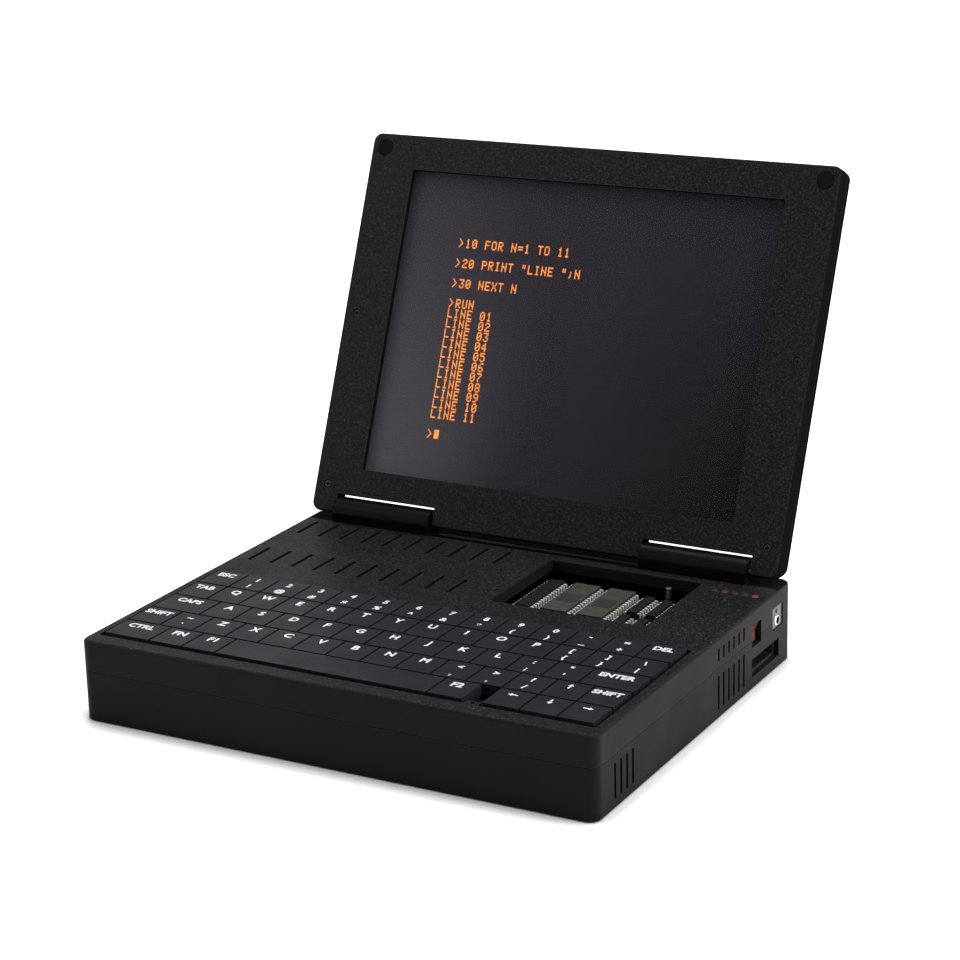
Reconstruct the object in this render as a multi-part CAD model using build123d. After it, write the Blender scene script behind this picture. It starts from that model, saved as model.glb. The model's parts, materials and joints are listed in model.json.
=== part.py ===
from build123d import *
import os

# Small laptop computer with a tilting lid. Millimetres, X to the right, Y to the back,
# Z up from the table. The origin is on the table, under the middle of the case.

# Case
CASE_WIDTH = 250.0
CASE_DEPTH = 200.0
DECK_HEIGHT = 37.2
SEAM_HEIGHT = 23.0
CASE_WALL = 2.2
FLOOR_THICKNESS = 2.2
DECK_THICKNESS = 2.2
CASE_CORNER_RADIUS = 5.0
DECK_EDGE_RADIUS = 1.6
FLOOR_EDGE_RADIUS = 0.8
SEAM_REVEAL = 0.3
TONGUE_THICKNESS = 0.9
TONGUE_HEIGHT = 1.5
FIT_CLEARANCE = 0.15

# Feet and case screws
FOOT_RADIUS = 6.0
FOOT_THICKNESS = 1.4
FOOT_BEVEL = 0.4
FOOT_INSET = 18.0
SCREW_INSET = 8.0
SCREW_FRONT_INSET = 4.8
SCREW_REAR_INSET = 7.0
SCREW_MIDDLE_GAP = 9.5
SCREW_RADIUS = 1.25
SCREW_HEAD_RADIUS = 2.4
SCREW_HEAD_HEIGHT = 1.8
SCREW_LENGTH = 19.0
SCREW_SEAT_HEIGHT = 12.0
BOSS_RADIUS = 2.7
BOSS_FOOT_RADIUS = 3.8
BOSS_FOOT_ROOF = 1.5
SCREW_CLEARANCE = 0.3
PILOT_CLEARANCE = 0.03

# Openings in the right-hand wall
VENT_WIDTH = 1.9
VENT_PITCH = 5.44
VENT_COUNT = 6
VENT_REAR_INSET = 54.2
LOWER_VENT_RISE = 4.2
LOWER_VENT_DROP = 3.3
UPPER_VENT_RISE = 3.4
UPPER_VENT_DROP = 4.9
FRONT_VENT_INSET = 17.1
FRONT_VENT_COUNT = 4

# Power switch
SWITCH_REAR_INSET = 40.1
SWITCH_DROP = 12.4
SWITCH_OPENING = 10.4
SWITCH_FRAME_WALL = 1.4
SWITCH_DEPTH = 13.0
SWITCH_RECESS = 2.1
ROCKER_CLEARANCE = 0.4
ROCKER_THICKNESS = 4.0
ROCKER_PIVOT_RADIUS = 1.2
ROCKER_TILT = 9.0
ROCKER_DISH = 0.9

# Expansion socket
SOCKET_REAR_INSET = 30.0
SOCKET_WIDTH = 30.4
SOCKET_HEIGHT = 8.4
SOCKET_DEPTH = 11.0
SOCKET_SHELL = 1.5
SOCKET_RECESS = 2.4
SOCKET_THROAT = 8.0

# Jack panel
PANEL_REAR_INSET = 16.0
PANEL_DROP = 12.6
PANEL_WIDTH = 11.0
PANEL_HEIGHT = 9.6
PANEL_RECESS = 0.5
PANEL_GAP = 0.4
PANEL_FLANGE = 1.5
PANEL_FLANGE_THICKNESS = 1.2
JACK_DROP = 1.7
JACK_BORE_RADIUS = 1.8
JACK_COLLAR_RADIUS = 2.5
JACK_BODY_SIZE = 7.0
JACK_DEPTH = 14.0
JACK_END_WALL = 2.0
JACK_COLLAR_BEVEL = 0.4
PANEL_SCREW_RISE = 2.6
PANEL_SCREW_RADIUS = 0.55
PANEL_SCREW_HEAD_RADIUS = 0.9
PANEL_SCREW_HEAD_HEIGHT = 0.45
PANEL_SCREW_LENGTH = 3.5

# Vent slots in the deck
DECK_SLOT_PITCH = 11.91
DECK_SLOT_SIDE_INSET = 9.0
DECK_SLOT_WINDOW_GAP = 12.0
DECK_SLOT_WIDTH = 2.2
DECK_SLOT_LENGTH = 18.5
DECK_SLOT_REAR_INSETS = (19.8, 62.4)

# Chip window in the deck
WINDOW_SIDE_INSET = 35.0
WINDOW_REAR_INSET = 20.5
WINDOW_WIDTH = 76.8
WINDOW_LENGTH = 60.8
WINDOW_CORNER_RADIUS = 1.0
WINDOW_COLLAR_WALL = 1.4
WINDOW_COLLAR_DEPTH = 5.8
WINDOW_CHAMFER = 0.7

# Indicator lamps
LAMP_COUNT = 5
LAMP_SIDE_INSET = 6.0
LAMP_PITCH = 4.9
LAMP_REAR_INSET = 28.0
LAMP_RADIUS = 1.5
LAMP_PROUD = 0.5
LAMP_BEVEL = 0.4
LAMP_LENGTH = 5.0
LAMP_FLANGE = 0.4

# Hinge
HINGE_REAR_INSET = 10.3
HINGE_RISE = 4.6
HUMP_RADIUS = 6.5
HUMP_LENGTH = 53.2
HUMP_SIDE_INSET = 15.8
HUMP_SIDE_GAP = 0.8
HINGE_PIN_RADIUS = 1.6
HINGE_PIN_BEVEL = 0.3
HINGE_PIN_ENGAGEMENT = 5.0
PIN_SEAT_CLEARANCE = 0.02
PIN_RUNNING_CLEARANCE = 0.05
RIDGE_HEIGHT = 1.0
RIDGE_LEAD = 4.9
RIDGE_DEPTH = 2.6
OPEN_ANGLE = 113.0

# Keyboard
SIDE_RIM = 4.15
FRONT_RIM = 8.8
REAR_DECK = 100.2
KEY_GAP = 0.85
KEY_TOP_PROUD = 0.8
CAP_HEIGHT = 5.0
CAP_DRAFT = 2.0
CAP_WALL = 1.2
CAP_ROOF = 1.5
KEY_TRAVEL = 2.0
STEM_SIZE = 4.0
STEM_CLEARANCE = 0.15
STEM_SPREAD = 36.0
WELL_MARGIN = 1.5
WELL_REAR_MARGIN = 0.7
WELL_CORNER_RADIUS = 1.5
SKIRT_WALL = 1.2
TAB_WIDTH = 6.4
TAB_LENGTH = 4.6
TAB_DROP = 0.5
TAB_THICKNESS = 1.6
FRAME_PLATE = 1.2
FRAME_WALL = 1.5
FRAME_SIDE_GAP = 0.2
FRAME_UNDER_CAPS = 0.4
GUIDE_WALL = 1.1
GUIDE_DEPTH = 1.6
MEMBRANE_THICKNESS = 0.4
MEMBRANE_GAP = 0.3
BACKPLATE_THICKNESS = 1.0
STEM_LENGTH = 5.6
POST_RADIUS = 2.5
POST_SIDE_INSET = 8.0
POST_BATTERY_GAP = 8.5
POST_FRONT_INSET = 21.2
POST_REAR_INSET = 22.5

# Each row of keys from the rear: node, width in key units, number of such keys. None is an empty place.
KEY_ROW_COUNTS = (
    (("key_escape", 1, 1), ("number_keys", 1, 12), ("key_delete", 1, 1)),
    (("key_tab", 1, 1), ("upper_letter_keys", 1, 13)),
    (("key_caps", 1.5, 1), ("home_letter_keys", 1, 11), ("key_enter", 1.5, 1)),
    (
        ("key_shift_left", 1, 1),
        ("lower_letter_keys", 1, 11),
        ("key_up", 1, 1),
        ("key_shift_right", 1, 1),
    ),
    (
        ("key_control", 1.4, 1),
        ("key_function", 1, 1),
        ("key_f1", 1, 1),
        ("key_space", 6.1, 1),
        ("key_plain", 1, 1),
        (None, 0.5, 1),
        ("key_left", 1, 1),
        ("key_down", 1, 1),
        ("key_right", 1, 1),
    ),
)
ROW_UNIT_COUNT = 14

# Circuit boards
BOARD_THICKNESS = 1.6
MAIN_BOARD_GAP = 1.8
MAIN_BOARD_SIDE_GAP = 10.0
MAIN_BOARD_REAR_GAP = 8.0
MAIN_BOARD_STEP_GAP = 14.0
MAIN_BOARD_STEP_REAR_GAP = 11.5
UPPER_BOARD_DROP = 16.5
UPPER_BOARD_LEFT_MARGIN = 7.2
UPPER_BOARD_RIGHT_MARGIN = 14.0
UPPER_BOARD_FRONT_MARGIN = 4.7
UPPER_BOARD_REAR_MARGIN = 8.5
STANDOFF_RADIUS = 2.4
STANDOFF_INSET = 4.5

# Chips on legs: name, kind, and place from the middle of the window
PIN_PITCH = 2.54
WIDE_LEG_COUNT = 14
SLIM_LEG_COUNT = 14
SHORT_LEG_COUNT = 8
WIDE_ROW_SPACING = 15.9
SLIM_ROW_SPACING = 10.16
SHORT_ROW_SPACING = 7.62
CHIPS = (
    ("memory_chip_left", "slim", -32.9, 7.9),
    ("memory_chip_middle", "wide", -17.2, 8.1),
    ("memory_chip_right", "wide", 0.8, 8.1),
    ("logic_chips", "short", 16.0, 12.9),
    ("logic_chips", "short", 25.7, 12.1),
    ("logic_chips", "short", 16.0, -12.7),
    ("logic_chips", "short", 25.7, -13.5),
)
SOCKET_STRIP_HEIGHT = 4.2
CHIP_STANDOFF = 0.5
CHIP_HEIGHT = 3.6
CHIP_END = 2.0
CHIP_SIDE_GAP = 1.3
CHIP_DRAFT = 5.0
CHIP_NOTCH_RADIUS = 1.0
PIN_WIDTH = 1.3
PIN_THICKNESS = 0.4
PIN_SHOULDER_SHARE = 0.72
CRYSTAL_PLACE = (23.6, 26.2)
CRYSTAL_HEIGHT = 13.2
CRYSTAL_SIZE = (2.8, 2.4)
CRYSTAL_BEVEL = 0.4
PROCESSOR_SIZE = 24.0
PROCESSOR_HEIGHT = 3.5
PROCESSOR_INSETS = ((95.0, 96.0), (65.0, 140.0), (55.0, 86.0), (175.0, 76.0))

# Battery and speaker
CELL_RADIUS = 8.3
CELL_LENGTH = 66.0
CELL_COUNT = 5
BATTERY_SIDE_GAP = 13.8
BATTERY_FRONT_GAP = 8.3
BATTERY_RIB_HEIGHT = 6.0
BATTERY_RIB_WALL = 1.6
SPEAKER_SIDE_INSET = 57.0
SPEAKER_REAR_INSET = 50.2
SPEAKER_RADIUS = 20.0
SPEAKER_DEPTH = 9.0
SPEAKER_MAGNET_RADIUS = 9.0
SPEAKER_FLANGE = 1.2
SPEAKER_RIM = 2.0

# Lid, drawn closed over the case and turned open at the end
LID_SIDE_INSET = 1.5
LID_FRONT_INSET = 2.3
LID_REAR_OVERHANG = 2.0
LID_FACE_DROP = 3.0
LID_CORNER_RADIUS = 4.5
LID_EDGE_RADIUS = 1.2
LID_BACK_RADIUS = 1.0
LID_WALL = 1.8
BEZEL_DEPTH = 8.0
BEZEL_FACE = 3.0
COVER_DEPTH = 4.6
COVER_BACK = 2.0
COVER_TAPER = 4.0
COVER_NOTCH_MARGIN = 3.0
REAR_BEVEL = 6.0
REAR_BEVEL_HEIGHT = 7.6
BEZEL_SIDE = 25.1
BEZEL_FREE_EDGE = 17.1
BEZEL_HINGE_EDGE = 22.6
SCREEN_CORNER_RADIUS = 1.0
NOTCH_GAP = 1.1
RAIL_WALL = 1.8
LID_SCREW_SIDE_INSET = 7.1
LID_SCREW_MIDDLE_INSET = 90.5
LID_SCREW_REAR_INSET = 13.5
LID_SCREW_RADIUS = 1.0
LID_SCREW_HEAD_RADIUS = 2.0
LID_SCREW_HEAD_HEIGHT = 1.1
LID_SCREW_LENGTH = 6.0
LID_BOSS_RADIUS = 3.2
BUMPER_SIDE_INSET = 7.4
BUMPER_EDGE_INSET = 6.9
BUMPER_RADIUS = 4.2
BUMPER_RECESS = 0.8
BUMPER_PROUD = 0.5
BUMPER_BEVEL = 0.45
GLASS_LAP = 3.0
GLASS_THICKNESS = 1.2
PANEL_LAP = 5.0
LCD_THICKNESS = 4.4
DISPLAY_BOARD_THICKNESS = 0.9
DISPLAY_BOARD_SIDE_GAP = 28.1
DISPLAY_BOARD_LENGTH = 26.0
DISPLAY_BOARD_EDGE_GAP = 9.1
COVER_RIB_WALL = 1.4
COVER_RIB_LENGTH = 120.0
COVER_RIB_COUNT = 2
COVER_RIB_INSET = 40.0
COVER_RIB_PITCH = 60.0

# Sizes that follow from the ones above
HALF_WIDTH = CASE_WIDTH / 2
HALF_DEPTH = CASE_DEPTH / 2
FLOOR_TOP = FLOOR_THICKNESS
DECK_UNDERSIDE = DECK_HEIGHT - DECK_THICKNESS
WALL_INSIDE_X = HALF_WIDTH - CASE_WALL
SEAT_HEIGHT = SEAM_HEIGHT + TONGUE_HEIGHT
KEY_TOP = DECK_HEIGHT + KEY_TOP_PROUD
CAP_BOTTOM = KEY_TOP - CAP_HEIGHT
FRAME_TOP = CAP_BOTTOM - KEY_TRAVEL - FRAME_UNDER_CAPS
STEM_BOTTOM = CAP_BOTTOM - STEM_LENGTH
MEMBRANE_TOP = STEM_BOTTOM - KEY_TRAVEL - MEMBRANE_GAP
BACKPLATE_TOP = MEMBRANE_TOP - MEMBRANE_THICKNESS
BACKPLATE_BOTTOM = BACKPLATE_TOP - BACKPLATE_THICKNESS
KEYBOARD_WIDTH = CASE_WIDTH - 2 * SIDE_RIM - 2 * WELL_MARGIN
KEYBOARD_DEPTH = CASE_DEPTH - REAR_DECK - FRONT_RIM - WELL_MARGIN
KEYBOARD_REAR_Y = HALF_DEPTH - REAR_DECK
KEY_PITCH_X = KEYBOARD_WIDTH / ROW_UNIT_COUNT
KEY_PITCH_Y = KEYBOARD_DEPTH / len(KEY_ROW_COUNTS)
WELL_WIDTH = KEYBOARD_WIDTH + 2 * WELL_MARGIN
WELL_REAR_Y = KEYBOARD_REAR_Y + WELL_REAR_MARGIN
WELL_FRONT_Y = KEYBOARD_REAR_Y - KEYBOARD_DEPTH - WELL_MARGIN
FRAME_CENTER_Y = (WELL_REAR_Y + WELL_FRONT_Y) / 2
FRAME_WIDTH = WELL_WIDTH - 2 * FRAME_SIDE_GAP
FRAME_DEPTH = WELL_REAR_Y - WELL_FRONT_Y + 2 * SKIRT_WALL
MAIN_BOARD_BOTTOM = FLOOR_TOP + MAIN_BOARD_GAP
MAIN_BOARD_TOP = MAIN_BOARD_BOTTOM + BOARD_THICKNESS
UPPER_BOARD_TOP = DECK_HEIGHT - UPPER_BOARD_DROP
UPPER_BOARD_BOTTOM = UPPER_BOARD_TOP - BOARD_THICKNESS
SOCKET_STRIP_TOP = UPPER_BOARD_TOP + SOCKET_STRIP_HEIGHT
CHIP_BOTTOM = SOCKET_STRIP_TOP + CHIP_STANDOFF
CHIP_TOP = CHIP_BOTTOM + CHIP_HEIGHT
HINGE_Y = HALF_DEPTH - HINGE_REAR_INSET
HINGE_Z = DECK_HEIGHT + HINGE_RISE
HUMP_X = HALF_WIDTH - HUMP_SIDE_INSET - HUMP_LENGTH / 2
LID_WIDTH = CASE_WIDTH - 2 * LID_SIDE_INSET
LID_FRONT_Y = LID_FRONT_INSET - HALF_DEPTH
LID_FACE_Z = HINGE_Z - LID_FACE_DROP
LID_SEAM_Z = LID_FACE_Z + BEZEL_DEPTH
LID_BACK_Z = LID_SEAM_Z + COVER_DEPTH
LID_REAR_Y = HINGE_Y + LID_REAR_OVERHANG
LID_LENGTH = LID_REAR_Y - LID_FRONT_Y
LID_CENTER_Y = (LID_REAR_Y + LID_FRONT_Y) / 2
NOTCH_FRONT_Y = HINGE_Y - HUMP_RADIUS - NOTCH_GAP
NOTCH_LENGTH = HUMP_LENGTH + 2 * HUMP_SIDE_GAP
RAIL_FRONT_Y = NOTCH_FRONT_Y - RAIL_WALL
SCREEN_WIDTH = LID_WIDTH - 2 * BEZEL_SIDE
SCREEN_LENGTH = LID_LENGTH - BEZEL_FREE_EDGE - BEZEL_HINGE_EDGE
SCREEN_Y = LID_FRONT_Y + BEZEL_FREE_EDGE + SCREEN_LENGTH / 2
DISPLAY_WIDTH = SCREEN_WIDTH + 2 * PANEL_LAP
DISPLAY_LENGTH = SCREEN_LENGTH + 2 * PANEL_LAP
GLASS_FACE_Z = LID_FACE_Z + BEZEL_FACE
LCD_FACE_Z = GLASS_FACE_Z + GLASS_THICKNESS
LCD_BACK_Z = LCD_FACE_Z + LCD_THICKNESS
COVER_INSIDE_Z = LID_BACK_Z - COVER_BACK
HINGE_AXIS = Axis((0, HINGE_Y, HINGE_Z), (1, 0, 0))
VENT_START_Y = HALF_DEPTH - VENT_REAR_INSET - (VENT_COUNT - 1) * VENT_PITCH
FRONT_VENT_START_Y = FRONT_VENT_INSET - HALF_DEPTH
SWITCH_Y = HALF_DEPTH - SWITCH_REAR_INSET
SWITCH_Z = DECK_HEIGHT - SWITCH_DROP
SOCKET_Y = HALF_DEPTH - SOCKET_REAR_INSET
PANEL_Y = HALF_DEPTH - PANEL_REAR_INSET
PANEL_Z = DECK_HEIGHT - PANEL_DROP
WINDOW_X = HALF_WIDTH - WINDOW_SIDE_INSET - WINDOW_WIDTH / 2
WINDOW_Y = HALF_DEPTH - WINDOW_REAR_INSET - WINDOW_LENGTH / 2
SPEAKER_X = SPEAKER_SIDE_INSET - HALF_WIDTH
SPEAKER_Y = HALF_DEPTH - SPEAKER_REAR_INSET
BATTERY_WIDTH = 2 * CELL_COUNT * CELL_RADIUS
BATTERY_X = BATTERY_SIDE_GAP - WALL_INSIDE_X + BATTERY_WIDTH / 2
BATTERY_Y = BATTERY_FRONT_GAP + CASE_WALL - HALF_DEPTH + CELL_LENGTH / 2
MAIN_BOARD_STEP_X = BATTERY_X + BATTERY_WIDTH / 2 + MAIN_BOARD_STEP_GAP
MAIN_BOARD_STEP_Y = BATTERY_Y + CELL_LENGTH / 2 + MAIN_BOARD_STEP_REAR_GAP
CHIP_KINDS = {
    "wide": (WIDE_LEG_COUNT, WIDE_ROW_SPACING),
    "slim": (SLIM_LEG_COUNT, SLIM_ROW_SPACING),
    "short": (SHORT_LEG_COUNT, SHORT_ROW_SPACING),
}

SCREW_SPOTS = [
    (side * (HALF_WIDTH - SCREW_INSET), y)
    for side in (-1, 1)
    for y in (
        SCREW_FRONT_INSET - HALF_DEPTH,
        WELL_REAR_Y + SCREW_MIDDLE_GAP,
        HALF_DEPTH - SCREW_REAR_INSET,
    )
]


def block(x_span, y_span, z_span):
    """Rectangular solid between two limits on each axis."""
    spans = (x_span, y_span, z_span)
    size = [high - low for low, high in spans]
    middle = [(high + low) / 2 for low, high in spans]
    return Pos(*middle) * Box(*size)


def rod(x, y, z_span, radius):
    """Upright round bar."""
    low, high = z_span
    return Pos(x, y, (low + high) / 2) * Cylinder(radius, high - low)


def cross_rod(x_span, y, z, radius):
    """Round bar lying along X."""
    low, high = x_span
    return Pos((low + high) / 2, y, z) * Rot(0, 90, 0) * Cylinder(radius, high - low)


def plate(outline, low, high, taper=0):
    """Outline raised from one height to another."""
    return Pos(0, 0, low) * extrude(outline, high - low, taper=taper)


def case_outline(inset=0.0):
    """Rounded plan of the case, moved inwards by an inset."""
    radius = max(CASE_CORNER_RADIUS - inset, 0.6)
    return RectangleRounded(CASE_WIDTH - 2 * inset, CASE_DEPTH - 2 * inset, radius)


def lid_outline(inset=0.0):
    """Rounded plan of the lid, moved inwards by an inset."""
    radius = max(LID_CORNER_RADIUS - inset, 0.6)
    outline = RectangleRounded(LID_WIDTH - 2 * inset, LID_LENGTH - 2 * inset, radius)
    return Pos(0, LID_CENTER_Y) * outline


def centered_outline(x, y, width, length, radius):
    """Rounded rectangle about a point of the plan."""
    return Pos(x, y) * RectangleRounded(width, length, radius)


def wall_slots(start_y, count, low, high):
    """Row of upright slots through the right-hand wall."""
    through = (WALL_INSIDE_X - TONGUE_THICKNESS, HALF_WIDTH + 1)
    return [
        block(
            through,
            (start_y + i * VENT_PITCH - VENT_WIDTH / 2, start_y + i * VENT_PITCH + VENT_WIDTH / 2),
            (low, high),
        )
        for i in range(count)
    ]


def wall_window(y, z, width, height, clearance=0.0):
    """Rectangular hole through the right-hand wall."""
    return block(
        (WALL_INSIDE_X - TONGUE_THICKNESS, HALF_WIDTH + 1),
        (y - width / 2 - clearance, y + width / 2 + clearance),
        (z - height / 2 - clearance, z + height / 2 + clearance),
    )


def switch_hole():
    """Hole in the wall for the power switch."""
    return wall_window(SWITCH_Y, SWITCH_Z, SWITCH_OPENING, SWITCH_OPENING)


def panel_hole():
    """Hole in the wall for the jack panel."""
    return wall_window(PANEL_Y, PANEL_Z, PANEL_WIDTH, PANEL_HEIGHT, PANEL_GAP)


def bottom_shell():
    """Tray that carries the boards, battery and keyboard."""
    shell = plate(case_outline(), 0, SEAM_HEIGHT)
    shell = fillet(shell.faces().sort_by(Axis.Z)[0].edges(), FLOOR_EDGE_RADIUS)
    tongue = plate(case_outline(CASE_WALL - TONGUE_THICKNESS), SEAM_HEIGHT - 1, SEAT_HEIGHT)
    shell += tongue
    shell -= plate(case_outline(CASE_WALL), FLOOR_TOP, SEAT_HEIGHT + 1)
    for x, y in SCREW_SPOTS:
        foot_top = SCREW_SEAT_HEIGHT + BOSS_FOOT_ROOF
        shell += rod(x, y, (FLOOR_TOP - 1, foot_top), BOSS_FOOT_RADIUS)
        shell += rod(x, y, (foot_top - 1, SEAT_HEIGHT), BOSS_RADIUS)
    for x, y in keyboard_posts():
        shell += rod(x, y, (FLOOR_TOP - 1, BACKPLATE_BOTTOM), POST_RADIUS)
    for x, y in main_board_posts():
        shell += rod(x, y, (FLOOR_TOP - 1, MAIN_BOARD_BOTTOM), STANDOFF_RADIUS)
    shell += battery_cradle()
    for x, y in SCREW_SPOTS:
        shell -= rod(x, y, (-1, SCREW_SEAT_HEIGHT), SCREW_HEAD_RADIUS + SCREW_CLEARANCE)
        shell -= rod(x, y, (0, SEAT_HEIGHT + 1), SCREW_RADIUS + SCREW_CLEARANCE)
    for x, y in foot_spots():
        shell -= rod(x, y, (-1, FOOT_THICKNESS), FOOT_RADIUS + FIT_CLEARANCE)
    lower = (LOWER_VENT_RISE, SEAM_HEIGHT - LOWER_VENT_DROP)
    shell -= wall_slots(VENT_START_Y, VENT_COUNT, *lower)
    shell -= wall_slots(FRONT_VENT_START_Y, FRONT_VENT_COUNT, *lower)
    shell -= wall_window(
        SOCKET_Y, MAIN_BOARD_TOP + SOCKET_HEIGHT / 2, SOCKET_WIDTH, SOCKET_HEIGHT, FIT_CLEARANCE
    )
    shell -= switch_hole()
    shell -= panel_hole()
    return shell


def keyboard_posts():
    """Plan positions of the posts under the keyboard, beside the battery and at the sides."""
    side_x = HALF_WIDTH - POST_SIDE_INSET
    middle_x = BATTERY_X + BATTERY_WIDTH / 2 + POST_BATTERY_GAP
    ys = (WELL_FRONT_Y + POST_FRONT_INSET, WELL_REAR_Y - POST_REAR_INSET)
    return [(x, y) for x in (-side_x, middle_x, side_x) for y in ys]


def battery_cradle():
    """Low wall round the battery pack."""
    width = BATTERY_WIDTH + 2 * FIT_CLEARANCE
    length = CELL_LENGTH + 2 * FIT_CLEARANCE
    spot = Pos(BATTERY_X, BATTERY_Y)
    outer = spot * Rectangle(width + 2 * BATTERY_RIB_WALL, length + 2 * BATTERY_RIB_WALL)
    inner = spot * Rectangle(width, length)
    return plate(outer - inner, FLOOR_TOP - 1, FLOOR_TOP + BATTERY_RIB_HEIGHT)


def foot_spots():
    """Plan positions of the four feet."""
    x = HALF_WIDTH - FOOT_INSET
    y = HALF_DEPTH - FOOT_INSET
    return [(-x, -y), (x, -y), (-x, y), (x, y)]


def rubber_feet():
    """Four round feet with a bevelled tread, level with the underside."""
    feet = []
    for x, y in foot_spots():
        foot = rod(x, y, (0, FOOT_THICKNESS), FOOT_RADIUS)
        feet.append(chamfer(foot.edges().sort_by(Axis.Z)[0], FOOT_BEVEL))
    return Compound(children=feet)


def case_screws():
    """Pan-head screws that draw the two halves of the case together."""
    screws = []
    for x, y in SCREW_SPOTS:
        head = rod(x, y, (SCREW_SEAT_HEIGHT - SCREW_HEAD_HEIGHT, SCREW_SEAT_HEIGHT), SCREW_HEAD_RADIUS)
        shank = rod(x, y, (SCREW_SEAT_HEIGHT - 0.5, SCREW_SEAT_HEIGHT + SCREW_LENGTH), SCREW_RADIUS)
        screws.append(head + shank)
    return Compound(children=screws)


def hinge_hump(side):
    """Round-topped housing of one hinge, standing on the deck."""
    start = side * HUMP_X - HUMP_LENGTH / 2
    foot = DECK_HEIGHT - DECK_THICKNESS / 2
    round_top = Pos(HINGE_Y, HINGE_Z) * Circle(HUMP_RADIUS)
    stand = Pos(HINGE_Y, (HINGE_Z + foot) / 2) * Rectangle(2 * HUMP_RADIUS, HINGE_Z - foot)
    return extrude(Plane.YZ.offset(start) * (round_top + stand), HUMP_LENGTH)


def keyboard_well():
    """Rectangle of the well that the keys stand in."""
    length = WELL_REAR_Y - WELL_FRONT_Y
    return centered_outline(0, FRAME_CENTER_Y, WELL_WIDTH, length, WELL_CORNER_RADIUS)


def well_skirt():
    """Wall that hangs from the deck round the keyboard well and bears on the key frame."""
    length = WELL_REAR_Y - WELL_FRONT_Y
    outer = centered_outline(
        0, FRAME_CENTER_Y, WELL_WIDTH + 2 * SKIRT_WALL, length + 2 * SKIRT_WALL,
        WELL_CORNER_RADIUS + SKIRT_WALL,
    )
    return plate(outer, FRAME_TOP, DECK_UNDERSIDE + 1)


def window_collar():
    """Wall that hangs from the deck round the chip window."""
    outer = centered_outline(
        WINDOW_X, WINDOW_Y, WINDOW_WIDTH + 2 * WINDOW_COLLAR_WALL,
        WINDOW_LENGTH + 2 * WINDOW_COLLAR_WALL, WINDOW_CORNER_RADIUS + WINDOW_COLLAR_WALL,
    )
    return plate(outer, DECK_HEIGHT - WINDOW_COLLAR_DEPTH, DECK_UNDERSIDE + 1)


def window_cut():
    """Chip window with its bevelled rim."""
    outline = centered_outline(WINDOW_X, WINDOW_Y, WINDOW_WIDTH, WINDOW_LENGTH, WINDOW_CORNER_RADIUS)
    hole = plate(outline, SEAM_HEIGHT, DECK_HEIGHT + 1)
    return hole + plate(outline, DECK_HEIGHT - WINDOW_CHAMFER, DECK_HEIGHT + 0.5, taper=-45)


def deck_slots():
    """Two rows of thin slots in the left half of the deck."""
    start_x = DECK_SLOT_SIDE_INSET - HALF_WIDTH
    window_edge = WINDOW_X - WINDOW_WIDTH / 2 - WINDOW_COLLAR_WALL
    count = 1 + int((window_edge - DECK_SLOT_WINDOW_GAP - start_x) / DECK_SLOT_PITCH)
    slots = []
    for inset in DECK_SLOT_REAR_INSETS:
        y_span = (HALF_DEPTH - inset - DECK_SLOT_LENGTH, HALF_DEPTH - inset)
        for i in range(count):
            x = start_x + i * DECK_SLOT_PITCH
            x_span = (x - DECK_SLOT_WIDTH / 2, x + DECK_SLOT_WIDTH / 2)
            slots.append(block(x_span, y_span, (DECK_UNDERSIDE - 1, DECK_HEIGHT + 1)))
    return slots


def lamp_spots():
    """Plan positions of the indicator lamps."""
    last_x = HALF_WIDTH - LAMP_SIDE_INSET
    return [(last_x - i * LAMP_PITCH, HALF_DEPTH - LAMP_REAR_INSET) for i in reversed(range(LAMP_COUNT))]


def key_tab():
    """Small tab on the rim, in the empty place of the front row."""
    top = DECK_HEIGHT - TAB_DROP
    y_span = (WELL_FRONT_Y - SKIRT_WALL / 2, WELL_FRONT_Y + TAB_LENGTH)
    x = next(x for node, x, _, _ in row_places() if node is None)
    x_span = (x - TAB_WIDTH / 2, x + TAB_WIDTH / 2)
    tab = block(x_span, y_span, (top - TAB_THICKNESS, top))
    return tab - rod(x, WELL_FRONT_Y + TAB_LENGTH * 0.6, (0, DECK_HEIGHT), TAB_WIDTH / 6)


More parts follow.
